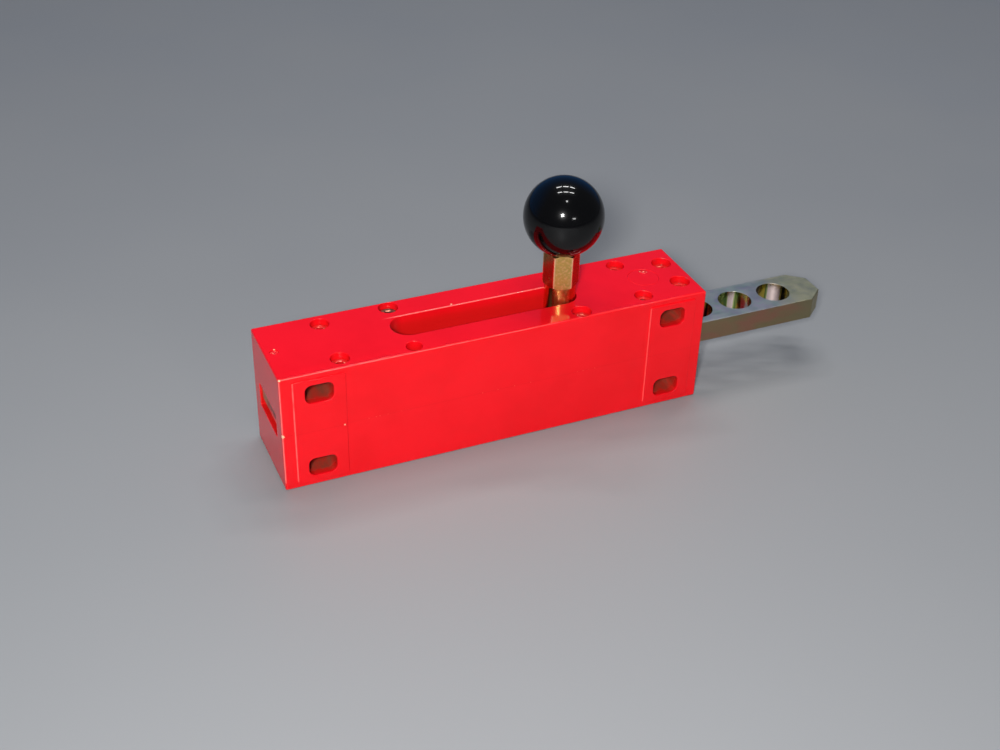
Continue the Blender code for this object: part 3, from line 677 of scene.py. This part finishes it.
def plug_finish():
    """The rear plug: plated at the back, olive over tan; painted shade at the front, with red overspray low
    down.
    """
    shader = Shader("half_painted_plated_steel")
    ragged = shader.math("MULTIPLY_ADD", shader.noise(420, 3), 2.4 * MM, shader.split.outputs["Y"])
    stain = shader.noise(260, 4)
    low = shader.math("MULTIPLY_ADD", shader.noise(420, 3), 2.2 * MM, shader.split.outputs["Z"])
    tan = shader.mix(shader.ramp(stain, 0.4, 0.6), *PLUG_TANS)
    plated = shader.mix(shader.ramp(low, SPLIT_Z + 3.2 * MM, SPLIT_Z + 4.2 * MM), tan, PLUG_OLIVE)
    red = shader.mix(shader.ramp(stain, 0.3, 0.7), *PLUG_REDS)
    back = shader.ramp(ragged, 2.6 * MM, 3.6 * MM)
    front = shader.ramp(low, SPLIT_Z + 1.0 * MM, SPLIT_Z + 2.6 * MM, 1.0, 0.0)
    # Painted shade across the front of the plug's face, with red overspray low down
    colour = shader.mix(back, shader.mix(front, PLUG_SHADE, red), plated)
    rough = shader.ramp(stain, 0.3, 0.7, 0.30, 0.48)
    metallic = shader.math("MULTIPLY", back, 0.8)
    normal = shader.bump(stain, 0.2, 0.2 * MM)
    return shader.set(color=colour, roughness=rough, metallic=metallic, normal=normal)


def hole_wall_reflections(shader):
    """Painted reflections, dark with a pale highlight, and the plate's gold and green, streaked down the
    walls of the bar's holes.
    """
    streak = shader.noise(1.0, 2, 0.5, stretch=(150, 150, 10), distortion=0.4)
    colour = HOLE_REFLECTION_DARK
    for low, high, tint in HOLE_REFLECTION_STREAKS:
        colour = shader.mix(shader.ramp(streak, low, high), colour, tint)
    return colour


def chromated_steel():
    """Yellow zinc plate: a green and purple bloom turning olive at the tip, brown sides told apart from the
    top by facing and partly painted reflection, and holes streaked with painted reflections.
    """
    shader = Shader("yellow_chromated_steel")
    y = shader.split.outputs["Y"]
    facing = shader.node("ShaderNodeSeparateXYZ", {"Vector": shader.place.outputs["Normal"]})
    upright = shader.math("ABSOLUTE", facing.outputs["Z"])
    side = shader.ramp(upright, 0.2, 0.8, 1.0, 0.0)
    inside = shader.math("LESS_THAN", shader.math("ABSOLUTE", y), 8.2 * MM)
    x = shader.split.outputs["X"]
    between_ends = shader.within(x, BAR_LOW.x + 2 * MM, BAR_HIGH.x - 10 * MM, 0.5 * MM)
    in_hole = shader.math("MULTIPLY", side, shader.math("MULTIPLY", inside, between_ends))

    bloom = shader.noise(150, 4, 0.6, distortion=0.6)
    patch = shader.noise(260, 3, 0.5, distortion=1.0)
    flat = shader.mix(shader.ramp(bloom, 0.35, 0.65), *BAR_FLATS)
    flat = shader.mix(shader.ramp(patch, 0.55, 0.75), flat, BAR_GREEN)
    olive = shader.mix(shader.ramp(patch, 0.4, 0.7), *BAR_OLIVES)
    to_tip = shader.math("MULTIPLY_ADD", bloom, 30 * MM, x)
    flat = shader.mix(shader.ramp(to_tip, BAR_HIGH.x - 14 * MM, BAR_HIGH.x + 6 * MM), flat, olive)
    run = shader.noise(1.0, 3, 0.5, stretch=(70, 30, 160), distortion=0.5)
    edge = shader.mix(shader.ramp(run, 0.30, 0.70), *BAR_SIDES_TINT_AND_REFLECTION)
    near_tip = shader.ramp(x, BAR_HIGH.x - 24 * MM, BAR_HIGH.x - 4 * MM)
    edge = shader.mix(near_tip, edge, BAR_SIDE_AT_TIP)
    walls = hole_wall_reflections(shader)
    # Top and sides coloured apart by which way they face: the plate's own tint, partly painted reflection
    colour = shader.mix(side, flat, edge)
    # Painted reflections and a highlight streaked down the hole walls
    colour = shader.mix(in_hole, colour, walls)

    grain = shader.noise(1.0, 4, 0.6, stretch=(60, 2600, 2600))
    blotch = shader.noise(210, 4)
    rough = shader.ramp(blotch, 0.3, 0.7, 0.38, 0.46)
    rough = shader.math("MULTIPLY_ADD", shader.ramp(grain, 0.3, 0.7), 0.06, rough)
    rough = shader.math("MULTIPLY", rough, shader.ramp(in_hole, 0.0, 1.0, 1.0, 0.42))
    scratch = shader.ramp(shader.noise(1.0, 2, 0.5, stretch=(25, 900, 900)), 0.62, 0.70)
    normal = shader.bump(grain, 0.16, 0.04 * MM)
    normal = shader.bump(scratch, 0.20, 0.03 * MM, normal)
    shader.set(metallic=1.0)
    return shader.set(color=colour, roughness=rough, normal=normal)


def gold_metal():
    """The stem's gold: turned on the neck, drawn on the flats, one of them satin and left lit, the others
    darkened with painted shade, and a painted highlight on the worn corners.
    """
    shader = Shader("gold_stem_metal")
    z = shader.split.outputs["Z"]
    on_neck = shader.ramp(z, HEX_BOTTOM_Z - 0.1 * MM, HEX_BOTTOM_Z + 0.5 * MM, 1.0, 0.0)
    stain = shader.noise(170, 4, 0.6, distortion=0.8)
    colour = shader.mix(shader.ramp(stain, 0.35, 0.7), *GOLDS)
    colour = shader.mix(shader.ramp(shader.noise(900, 3), 0.42, 0.72), colour, GOLD_GRAIN)
    drawn = shader.noise(1.0, 3, 0.6, stretch=(1800, 1800, 120))
    turned = shader.noise(1.0, 3, 0.6, stretch=(60, 60, 3200))
    lines = shader.node("ShaderNodeMix", {0: on_neck, 2: drawn, 3: turned}).outputs[0]
    x, y = shader.split.outputs["X"], shader.split.outputs["Y"]
    across = shader.node("ShaderNodeCombineXYZ", {0: shader.math("SUBTRACT", x, STEM_X), 1: y})
    radial = shader.node("ShaderNodeVectorMath", {0: across.outputs[0]}, operation="LENGTH")
    # Painted highlight on the hexagon's corners, where the plating is also worn
    corner = shader.ramp(radial.outputs["Value"], 7.02 * MM, 7.20 * MM)
    colour = shader.mix(corner, colour, GOLD_CORNER_WEAR_AND_HIGHLIGHT)
    outward = (math.cos(LIT_SATIN_FLAT), math.sin(LIT_SATIN_FLAT), 0)
    directions = {0: shader.place.outputs["Normal"], 1: outward}
    facing = shader.node("ShaderNodeVectorMath", directions, operation="DOT_PRODUCT")
    satin = shader.ramp(facing.outputs["Value"], 0.80, 0.92)
    # Painted shade: every part but the lit flat, the neck and the corners is darkened
    kept_unshaded = shader.math("MAXIMUM", satin, shader.math("MAXIMUM", on_neck, corner))
    colour = shader.mix(kept_unshaded, shader.mix(0.58, colour, GOLD_SHADE), colour)
    polished = shader.ramp(stain, 0.3, 0.75, 0.20, 0.32)
    worn = shader.ramp(stain, 0.3, 0.75, 0.44, 0.54)
    rough = shader.node("ShaderNodeMix", {0: satin, 2: polished, 3: worn}).outputs[0]
    rough = shader.math("MULTIPLY", rough, shader.ramp(on_neck, 0.0, 1.0, 1.0, 0.65))
    shader.set(metallic=1.0)
    return shader.set(color=colour, roughness=rough, normal=shader.bump(lines, 0.18, 0.04 * MM))


def black_phenolic():
    """Polished black, with a faint haze and a few hair scratches."""
    shader = Shader("polished_black_phenolic")
    cloud = shader.noise(90, 4)
    colour = shader.mix(cloud, *BLACKS)
    haze = shader.ramp(shader.noise(55, 4, 0.65), 0.5, 0.8, 0.03, 0.09)
    hair = shader.ramp(shader.noise(1.0, 2, 0.5, stretch=(1500, 180, 260)), 0.70, 0.74, 0.0, 0.10)
    rough = shader.math("ADD", haze, hair)
    shader.set(specular=0.28, coat=0.09, coat_roughness=0.22)
    grain = shader.noise(700, 2)
    return shader.set(color=colour, roughness=rough, normal=shader.bump(grain, 0.03, 0.03 * MM))


def bearing_bronze():
    shader = Shader("bearing_bronze")
    cloud = shader.noise(140, 4)
    colour = shader.mix(shader.ramp(cloud, 0.3, 0.7), *BRONZES)
    milling = shader.noise(1.0, 3, 0.6, stretch=(1600, 90, 90))
    rough = shader.ramp(cloud, 0.3, 0.7, 0.30, 0.45)
    shader.set(metallic=1.0)
    return shader.set(color=colour, roughness=rough, normal=shader.bump(milling, 0.2, 0.04 * MM))


def ground_steel():
    shader = Shader("ground_steel")
    cloud = shader.noise(200, 4)
    colour = shader.mix(cloud, *STEELS)
    grind = shader.noise(1.0, 3, 0.6, stretch=(120, 120, 2800))
    rough = shader.ramp(cloud, 0.3, 0.7, 0.22, 0.38)
    shader.set(metallic=1.0)
    return shader.set(color=colour, roughness=rough, normal=shader.bump(grind, 0.15, 0.03 * MM))


def screw_steel(name, painted):
    """Black oxide steel under as much red overspray as the painted share gives, its rims lightened in places
    by worn paint and painted glints.
    """
    shader = Shader(name)
    cloud = shader.noise(420, 4, distortion=0.5)
    steel = shader.mix(shader.ramp(cloud, 0.3, 0.75), *OXIDES)
    cover = shader.ramp(shader.noise(620, 3), 0.74 - painted * 0.5, 0.82 - painted * 0.5)
    colour = shader.mix(cover, steel, SCREW_RED)
    facing = shader.node("ShaderNodeSeparateXYZ", {"Vector": shader.place.outputs["Normal"]})
    # Rims lightened in places: partly worn paint, partly painted glints
    rim = shader.within(facing.outputs["Z"], 0.40, 0.88, 0.08)
    rim = shader.math("MULTIPLY", rim, shader.ramp(shader.noise(800, 2), 0.49, 0.60))
    colour = shader.mix(rim, colour, WORN_RIM_AND_GLINT)
    metallic = shader.ramp(cover, 0.0, 1.0, 0.9, 0.0)
    rough = shader.ramp(cover, 0.0, 1.0, 0.42, 0.16)
    drips = shader.noise(650, 2)
    normal = shader.bump(drips, 0.6 * painted, 0.25 * MM, shader.bump(cloud, 0.15, 0.08 * MM))
    return shader.set(color=colour, metallic=metallic, roughness=rough, normal=normal)


# ---- housing ----


def bore_with_mouth(name, radius, spot, bottom, lip=SMALL_LIP):
    """A cutter for a bore in the top, from its bottom to its rounded mouth."""
    levels = mouth_levels(bottom, TOP_Z, 0.0, lip)
    return loft(name, circle_outline(radius), levels, (spot[0], spot[1], 0))


def node_spot(node):
    """Where the middle of a node is, along X and Y."""
    low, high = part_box(node)
    return ((low.x + high.x) / 2, (low.y + high.y) / 2)


def screw_bores(nodes, bore_radius, shank_radius):
    """A rounded bore over each screw's head and a plain one for its shank."""
    cutters = []
    for node in nodes:
        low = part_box(node)[0]
        spot = node_spot(node)
        seat = head_seat(node)
        cutters.append(bore_with_mouth(f"{node} head bore", bore_radius, spot, seat - 0.1 * MM))
        shank = [(0.0, low.z - MM), (0.0, seat)]
        outline = circle_outline(shank_radius, HIDDEN_STEPS)
        cutters.append(loft(f"{node} shank bore", outline, shank, (*spot, 0)))
    return cutters


def head_seat(node):
    """The height of the underside of a screw's head."""
    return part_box(node)[1].z - HEADS[node[:-2]][1]


def pocket(node):
    """A cutter for the pocket that holds a node, with a gap all round it."""
    low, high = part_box(node)
    gap = Vector((POCKET_GAP, POCKET_GAP, POCKET_GAP))
    return box_solid(f"{node} pocket", low - gap, high + gap)


def raised_pads():
    """The two raised pads on the front, rooted in the housing, their edges rounded."""
    half_x = (PAD_OUTER_X - PAD_INNER_X) / 2
    half_z = (TOP_Z - LOWER_LOW.z) / 2 - PAD_MARGIN_Z
    outline = rounded_outline(half_x, half_z, PAD_CORNER)
    face = FRONT_Y - PAD_RISE
    levels = [(0.0, FRONT_Y + PAD_ROOT), (0.0, face + PAD_EDGE)]
    for step in range(1, PAD_EDGE_STEPS + 1):
        angle = math.pi / 2 * step / PAD_EDGE_STEPS
        levels.append((PAD_EDGE * (math.cos(angle) - 1), face + PAD_EDGE * (1 - math.sin(angle))))
    return [loft(f"pad {end}", outline, levels, (end * SLOT_X, 0, SPLIT_Z), "Y") for end in (-1, 1)]


def other_half(half):
    """A cutter that takes away everything on the far side of the seam."""
    far = Vector((END_X + OVERRUN, BACK_Y + OVERRUN, 0))
    if half == "upper":
        rest_low, rest_high = -OVERRUN, SPLIT_Z + SEAM / 2
    else:
        rest_low, rest_high = SPLIT_Z - SEAM / 2, TOP_Z + OVERRUN
    return box_solid("rest", (-far.x, -far.y, rest_low), (far.x, far.y, rest_high))


def channel_cutter():
    """The channel that the bar runs in, from end to end of the housing."""
    half_y = (BAR_HIGH.y - BAR_LOW.y) / 2 + CHANNEL_GAP
    half_z = (BAR_HIGH.z - BAR_LOW.z) / 2 + CHANNEL_GAP
    outline = rounded_outline(half_y, half_z, CHANNEL_CORNER, 3)
    return loft("channel", outline, mouth_levels(-END_X, END_X, LIP, LIP), (0, 0, SPLIT_Z), "X")


def mounting_slots(side):
    """The slots through both pads, above the seam if the side is 1 and below it if it is -1."""
    outline = rounded_outline(SLOT_HALF_X, SLOT_HALF_Z, SLOT_CORNER, 6)
    levels = mouth_levels(FRONT_Y - PAD_RISE, BACK_Y, SMALL_LIP, SMALL_LIP)
    height = SPLIT_Z + side * SLOT_RISE
    return [loft(f"mounting slot {end}", outline, levels, (end * SLOT_X, 0, height), "Y") for end in (-1, 1)]


def top_cutters():
    """What opens in the top: the handle slot, and the bores over screws, plug, pin and dowels."""
    radius = HANDLE_SLOT_RADIUS
    handle = rounded_outline(HANDLE_SLOT_HALF_X, radius, radius * 0.999, 16)
    cutters = [loft("handle slot", handle, mouth_levels(SPLIT_Z, TOP_Z, 0.0, LIP))]
    cutters += [pocket("front_guide_block"), pocket("rear_guide_block")]
    for kind, (_, _, shank, bore) in HEADS.items():
        cutters += screw_bores([f"{kind}_1", f"{kind}_2"], bore, shank + SHANK_GAP)
    plug_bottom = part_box("top_plug")[0].z - SHANK_GAP
    plug_spot = node_spot("top_plug")
    cutters.append(bore_with_mouth("plug bore", TOP_PLUG_BORE_RADIUS, plug_spot, plug_bottom, TOP_PLUG_LIP))
    pin_spot = node_spot("rear_spring_pin")
    cutters.append(bore_with_mouth("pin bore", PIN_BORE_RADIUS, pin_spot, SPLIT_Z, PIN_LIP))
    for node in DOWELS:
        dowel_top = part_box(node)[1].z
        cutters.append(bore_with_mouth(f"{node} mouth", DOWEL_MOUTH_RADIUS, node_spot(node), dowel_top))
    return cutters


def dowel_bores():
    cutters = []
    for node in DOWELS:
        low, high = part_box(node)
        levels = [(0.0, low.z - POCKET_GAP), (0.0, high.z + POCKET_GAP)]
        outline = circle_outline(DOWEL_BORE_RADIUS, HIDDEN_STEPS)
        cutters.append(loft(f"{node} bore", outline, levels, (*node_spot(node), 0)))
    return cutters


def make_housing_half(half, material):
    low = Vector((-END_X, FRONT_Y, LOWER_LOW.z))
    high = Vector((END_X, BACK_Y, TOP_Z))
    piece = box_solid(f"housing_{half}_casting", low, high, HOUSING_EDGE)
    carve(piece, raised_pads(), "UNION")
    cutters = [other_half(half), channel_cutter()]
    cutters += mounting_slots(1 if half == "upper" else -1)
    if half == "upper":
        cutters += top_cutters()
    else:
        strip_pocket = pocket("lower_wear_strip")
        strip_pocket.location.z = STRIP_POCKET_RISE
        cutters.append(strip_pocket)
    cutters += dowel_bores()
    carve(piece, cutters)
    finish_piece(piece, material, "housing", "housing_paint", f"housing_{half}")


def make_top_plug(material):
    """The flush disc, very slightly domed, with a small round edge."""
    low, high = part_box("top_plug")
    radius = (high.x - low.x) / 2
    profile = [(0.0, high.z)]
    for step in range(1, DOME_STEPS + 1):
        share = step / DOME_STEPS
        profile.append((radius * 0.96 * share, high.z - TOP_PLUG_DOME * share**2))
    profile += arc((radius - TOP_PLUG_EDGE, high.z - 0.20 * MM), TOP_PLUG_EDGE, 90, 0)
    profile += [(radius, low.z), (0.0, low.z)]
    piece = lathe("top_plug_disc", profile, node_spot("top_plug"))
    finish_piece(piece, material, "housing", "housing_paint", "top_plug")


def make_screw(node, material):
    """A screw with a rounded head and a hexagon socket with a chamfered mouth."""
    head_radius, head_height, shank_radius, _ = HEADS[node[:-2]]
    low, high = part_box(node)
    spot = node_spot(node)
    seat = head_seat(node)
    profile = [(0.0, high.z), (head_radius - SCREW_EDGE, high.z)]
    profile += arc((head_radius - SCREW_EDGE, high.z - SCREW_EDGE), SCREW_EDGE, 90, 0)[1:]
    profile += [(head_radius, seat), (shank_radius, seat), (shank_radius, low.z + SCREW_EDGE)]
    profile += [(shank_radius - SCREW_EDGE, low.z), (0.0, low.z)]
    piece = lathe(f"{node}_body", profile, spot, SMALL_STEPS)
    outline = polygon_outline(head_radius * SOCKET_SIZE_SHARE, 6, SOCKET_CORNER, SOCKET_TURN)
    levels = mouth_levels(high.z - head_height * SOCKET_DEPTH_SHARE, high.z, 0.0, SOCKET_CHAMFER)
    carve(piece, [loft(f"{node} socket", outline, levels, (*spot, 0))])
    finish_piece(piece, material, "housing", "screw_steel", node)


def make_rear_plug(material):
    """The block in the rear opening, cut away along its lower outer edge and bored for the pin."""
    low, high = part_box("rear_end_plug")
    piece = box_solid("rear_end_plug_block", low, high, REAR_PLUG_EDGE, 4)
    wedge = [
        (low.x - MM, low.z - MM),
        (low.x + REAR_PLUG_CUT + MM, low.z - MM),
        (low.x - MM, low.z + REAR_PLUG_CUT + MM),
    ]
    levels = [(0.0, low.y - MM), (0.0, high.y + MM)]
    carve(piece, [loft("rear plug cut", fixed_outline(wedge), levels, axis="Y")])
    pin_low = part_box("rear_spring_pin")[0]
    levels = [(0.0, pin_low.z - 0.2 * MM), (0.0, high.z + MM)]
    spot = node_spot("rear_spring_pin")
    carve(piece, [loft("rear plug bore", circle_outline(PIN_BORE_RADIUS), levels, (*spot, 0))])
    finish_piece(piece, material, "housing", "bolt_chromate", "rear_end_plug")


def make_rear_pin(material):
    """The pin, whose painted-over end is slightly dished."""
    low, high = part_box("rear_spring_pin")
    radius = (high.x - low.x) / 2
    profile = [(0.0, high.z - 0.08 * MM), (radius * 0.3, high.z - 0.02 * MM), (radius - PIN_EDGE, high.z)]
    profile += arc((radius - PIN_EDGE, high.z - PIN_EDGE), PIN_EDGE, 90, 0)[1:]
    profile += [(radius, low.z + PIN_EDGE), (radius - PIN_EDGE, low.z), (0.0, low.z)]
    piece = lathe("rear_spring_pin_painted", profile, node_spot("rear_spring_pin"), SMALL_STEPS)
    finish_piece(piece, material, "housing", "ground_steel", "rear_spring_pin")


# ---- bolt ----


def make_bar(material):
    """The flat bar: chamfered tip, rounded edges, three lock holes and the hole that holds the stem."""
    half_y = (BAR_HIGH.y - BAR_LOW.y) / 2
    bm = bmesh.new()
    outline = [
        (BAR_LOW.x, -half_y),
        (BAR_HIGH.x - TIP_CHAMFER_X, -half_y),
        (BAR_HIGH.x, -half_y + TIP_CHAMFER_Y),
        (BAR_HIGH.x, half_y - TIP_CHAMFER_Y),
        (BAR_HIGH.x - TIP_CHAMFER_X, half_y),
        (BAR_LOW.x, half_y),
    ]
    bottom = bm.faces.new([bm.verts.new((x, y, BAR_LOW.z)) for x, y in outline])
    made = bmesh.ops.extrude_face_region(bm, geom=[bottom])
    top = [item for item in made["geom"] if isinstance(item, bmesh.types.BMVert)]
    bmesh.ops.translate(bm, vec=(0, 0, BAR_HIGH.z - BAR_LOW.z), verts=top)
    bmesh.ops.recalc_face_normals(bm, faces=bm.faces)
    bmesh.ops.bevel(bm, geom=bm.edges[:], offset=BAR_EDGE, segments=3, profile=0.5, affect="EDGES")
    piece = mesh_object("bolt_bar_plated", bm)

    holes = []
    levels = mouth_levels(BAR_LOW.z, BAR_HIGH.z, HOLE_LIP, HOLE_LIP)
    for number in range(3):
        centre = (LAST_LOCK_HOLE_X - number * LOCK_HOLE_PITCH, 0, 0)
        holes.append(loft(f"lock hole {number}", circle_outline(LOCK_HOLE_RADIUS, 72), levels, centre))
    levels = mouth_levels(BAR_LOW.z, BAR_HIGH.z, STEM_HOLE_LIP, STEM_HOLE_LIP)
    outline = circle_outline(THREAD_RADIUS + STEM_HOLE_GAP)
    holes.append(loft("stem hole", outline, levels, (STEM_X, 0, 0)))
    carve(piece, holes)
    finish_piece(piece, material, "bolt", "bolt_chromate", "bolt_bar")


def make_stem(material):
    """The stem: a thread into the ball, a hexagon with turned ends, a neck and a thread into the bar."""
    hex_top = BALL_LOW.z - HEX_TO_BALL
    neck_bottom = BAR_HIGH.z + NECK_TO_BAR
    thread_end = THREAD_RADIUS - THREAD_CHAMFER
    profile = [
        (0.0, STEM_HIGH.z),
        (thread_end, STEM_HIGH.z),
        (THREAD_RADIUS, STEM_HIGH.z - THREAD_CHAMFER),
        (THREAD_RADIUS, hex_top - MM),
        (NECK_RADIUS - MM, hex_top - 2 * MM),
        (NECK_RADIUS - MM, HEX_BOTTOM_Z + 2 * MM),
        (NECK_RADIUS, HEX_BOTTOM_Z + MM),
        (NECK_RADIUS, neck_bottom + NECK_EDGE),
        (NECK_RADIUS - NECK_EDGE, neck_bottom),
        (THREAD_RADIUS, neck_bottom),
        (THREAD_RADIUS, STEM_LOW.z + THREAD_CHAMFER),
        (thread_end, STEM_LOW.z),
        (0.0, STEM_LOW.z),
    ]
    piece = lathe("handle_stem_hex", profile, (STEM_X, 0), STEM_STEPS)

    corner = HEX_FLATS / 2 / math.cos(math.pi / 6)
    outside = corner + HEX_BARREL_GAP
    barrel = [
        (0.0, hex_top),
        (corner - HEX_CHAMFER, hex_top),
        (outside, hex_top - HEX_CHAMFER),
        (outside, HEX_BOTTOM_Z + HEX_CHAMFER),
        (corner - HEX_CHAMFER, HEX_BOTTOM_Z),
        (0.0, HEX_BOTTOM_Z),
    ]
    outline = polygon_outline(HEX_FLATS / 2, 6, HEX_CORNER, HEX_TURN)
    levels = [(0.0, HEX_BOTTOM_Z - MM), (0.0, hex_top + MM)]
    hexagon = loft("hexagon", outline, levels, (STEM_X, 0, 0))
    carve(hexagon, [lathe("barrel", barrel, (STEM_X, 0), STEM_STEPS)], "INTERSECT")
    carve(piece, [hexagon], "UNION")
    finish_piece(piece, material, "bolt", "stem_brass", "handle_stem")


def make_ball(material):
    """The ball: a flat with a small edge where it meets the hexagon, and its bore."""
    flat_angle = math.degrees(math.asin(BALL_FLAT_RADIUS / BALL_RADIUS))
    bore_top = STEM_HIGH.z + BALL_BORE_GAP
    profile = [(0.0, BALL_HIGH.z)]
    profile += arc((0, BALL_Z), BALL_RADIUS, 90, -90 + flat_angle + BALL_EDGE_DEGREES, BALL_STEPS)[1:]
    profile += [(BALL_FLAT_RADIUS - BALL_EDGE, BALL_LOW.z), (BALL_BORE_RADIUS, BALL_LOW.z)]
    profile += [(BALL_BORE_RADIUS, bore_top), (0.0, bore_top)]
    piece = lathe("ball_knob_polished", profile, (STEM_X, 0), 128)
    finish_piece(piece, material, "bolt", "knob_plastic", "ball_knob")


# ---- scene ----


def make_camera():
    """The camera, looking at the aim point from its azimuth and elevation, and rolled a little."""
    level = math.cos(ELEVATION)
    back = Vector((math.sin(AZIMUTH) * level, -math.cos(AZIMUTH) * level, math.sin(ELEVATION)))
    data = bpy.data.cameras.new("camera")
    data.lens = LENS
    data.sensor_width = SENSOR_WIDTH
    camera = bpy.data.objects.new("camera", data)
    bpy.context.scene.collection.objects.link(camera)
    camera.location = AIM + back * DISTANCE
    camera.rotation_mode = "QUATERNION"
    camera.rotation_quaternion = (-back).to_track_quat("-Z", "Y") @ Quaternion((0, 0, 1), ROLL)
    bpy.context.scene.camera = camera


def view_axes():
    """The camera's right, up and back directions."""
    turn = bpy.context.scene.camera.rotation_quaternion
    return [turn @ Vector(axis) for axis in ((1, 0, 0), (0, 1, 0), (0, 0, 1))]


def area_light(name, place, target, width, height, power):
    """A rectangular lamp aimed at the target, its width level in the camera's view."""
    data = bpy.data.lights.new(name, "AREA")
    data.shape = "RECTANGLE"
    data.size, data.size_y = width, height
    data.energy = power
    lamp = bpy.data.objects.new(name, data)
    bpy.context.scene.collection.objects.link(lamp)
    lamp.location = place
    lamp.rotation_mode = "QUATERNION"
    axis_z = (place - target).normalized()
    axis_x = view_axes()[0]
    axis_x = (axis_x - axis_z * axis_x.dot(axis_z)).normalized()
    turn = Matrix((axis_x, axis_z.cross(axis_x), axis_z)).transposed()
    lamp.rotation_quaternion = turn.to_quaternion()


def make_lights():
    """A small key behind the camera, two rows of strips overhead and two small lamps."""
    right, up, back = view_axes()
    area_light("key", AIM + back * KEY_BACK - right * KEY_LEFT, AIM, KEY_SIZE, KEY_SIZE, KEY_POWER)
    ball = Vector((STEM_X, 0, BALL_Z))
    for row, (rise, depth) in enumerate(STRIP_ROWS):
        for number in (-1, 0, 1):
            across = STRIP_SHIFT + number * STRIP_PITCH
            place = ball + (right * across + up * rise + back * depth) * STRIP_DISTANCE
            area_light(f"strip {row} {number}", place, ball, *STRIP_SIZE, STRIP_POWER)
    for name, (across, rise, depth), distance, size, power in SMALL_LAMPS:
        place = ball + (right * across + up * rise + back * depth) * distance
        area_light(name, place, ball, *size, power)


def make_floor():
    bm = bmesh.new()
    bmesh.ops.create_grid(bm, x_segments=1, y_segments=1, size=FLOOR_SIZE)
    floor = mesh_object("floor", bm)
    floor.location.z = LOWER_LOW.z - FLOOR_GAP
    shader = Shader("pale_floor")
    colour = shader.mix(shader.noise(3.0, 3), *FLOOR_GREYS)
    rough = shader.ramp(shader.noise(7.0, 3), 0.3, 0.7, 0.48, 0.58)
    floor.data.materials.append(shader.set(color=colour, roughness=rough))


def make_world():
    """Plain surroundings: grey, turning blue low on the far side."""
    world = bpy.data.worlds.new("studio")
    bpy.context.scene.world = world
    world.use_nodes = True
    nodes = Nodes(world.node_tree)
    background = nodes.tree.nodes["Background"]
    place = nodes.node("ShaderNodeTexCoord")
    split = nodes.node("ShaderNodeSeparateXYZ", {0: place.outputs["Generated"]})
    shares = []
    for axis, low, high in (("Y", 0.15, 0.60), ("Z", 0.90, 0.50)):
        inputs = {"Value": split.outputs[axis], "From Min": low, "From Max": high}
        shares.append(nodes.node("ShaderNodeMapRange", inputs).outputs[0])
    colour = nodes.mix(nodes.math("MULTIPLY", *shares), SKY_GREY, FAR_BLUE)
    nodes.feed(background.inputs["Color"], colour)
    background.inputs["Strength"].default_value = SKY_STRENGTH
    bpy.context.scene.view_settings.view_transform = "Standard"


make_camera()
make_lights()
make_floor()
make_world()

paint = red_paint()
chromate = chromated_steel()
gold = gold_metal()
phenolic = black_phenolic()
bronze = bearing_bronze()
steel = ground_steel()
painted_screw = screw_steel("painted_screw_steel", 0.85)
bare_screw = screw_steel("bare_screw_steel", 0.25)

make_housing_half("upper", paint)
make_housing_half("lower", paint)
make_top_plug(paint)
for screw in SCREWS:
    make_screw(screw, bare_screw if screw == BARE_SCREW else painted_screw)
make_rear_plug(plug_finish())
make_rear_pin(speckled_paint())
make_bar(chromate)
make_stem(gold)
make_ball(phenolic)

CARRIED_OVER = {
    "front_guide_block": bronze,
    "rear_guide_block": bronze,
    "lower_wear_strip": bronze,
    "dowel_pin_1": steel,
    "dowel_pin_2": steel,
    "knob_insert": gold,
}
for node, material in CARRIED_OVER.items():
    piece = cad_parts[node]
    piece.data.materials.clear()
    piece.data.materials.append(material)
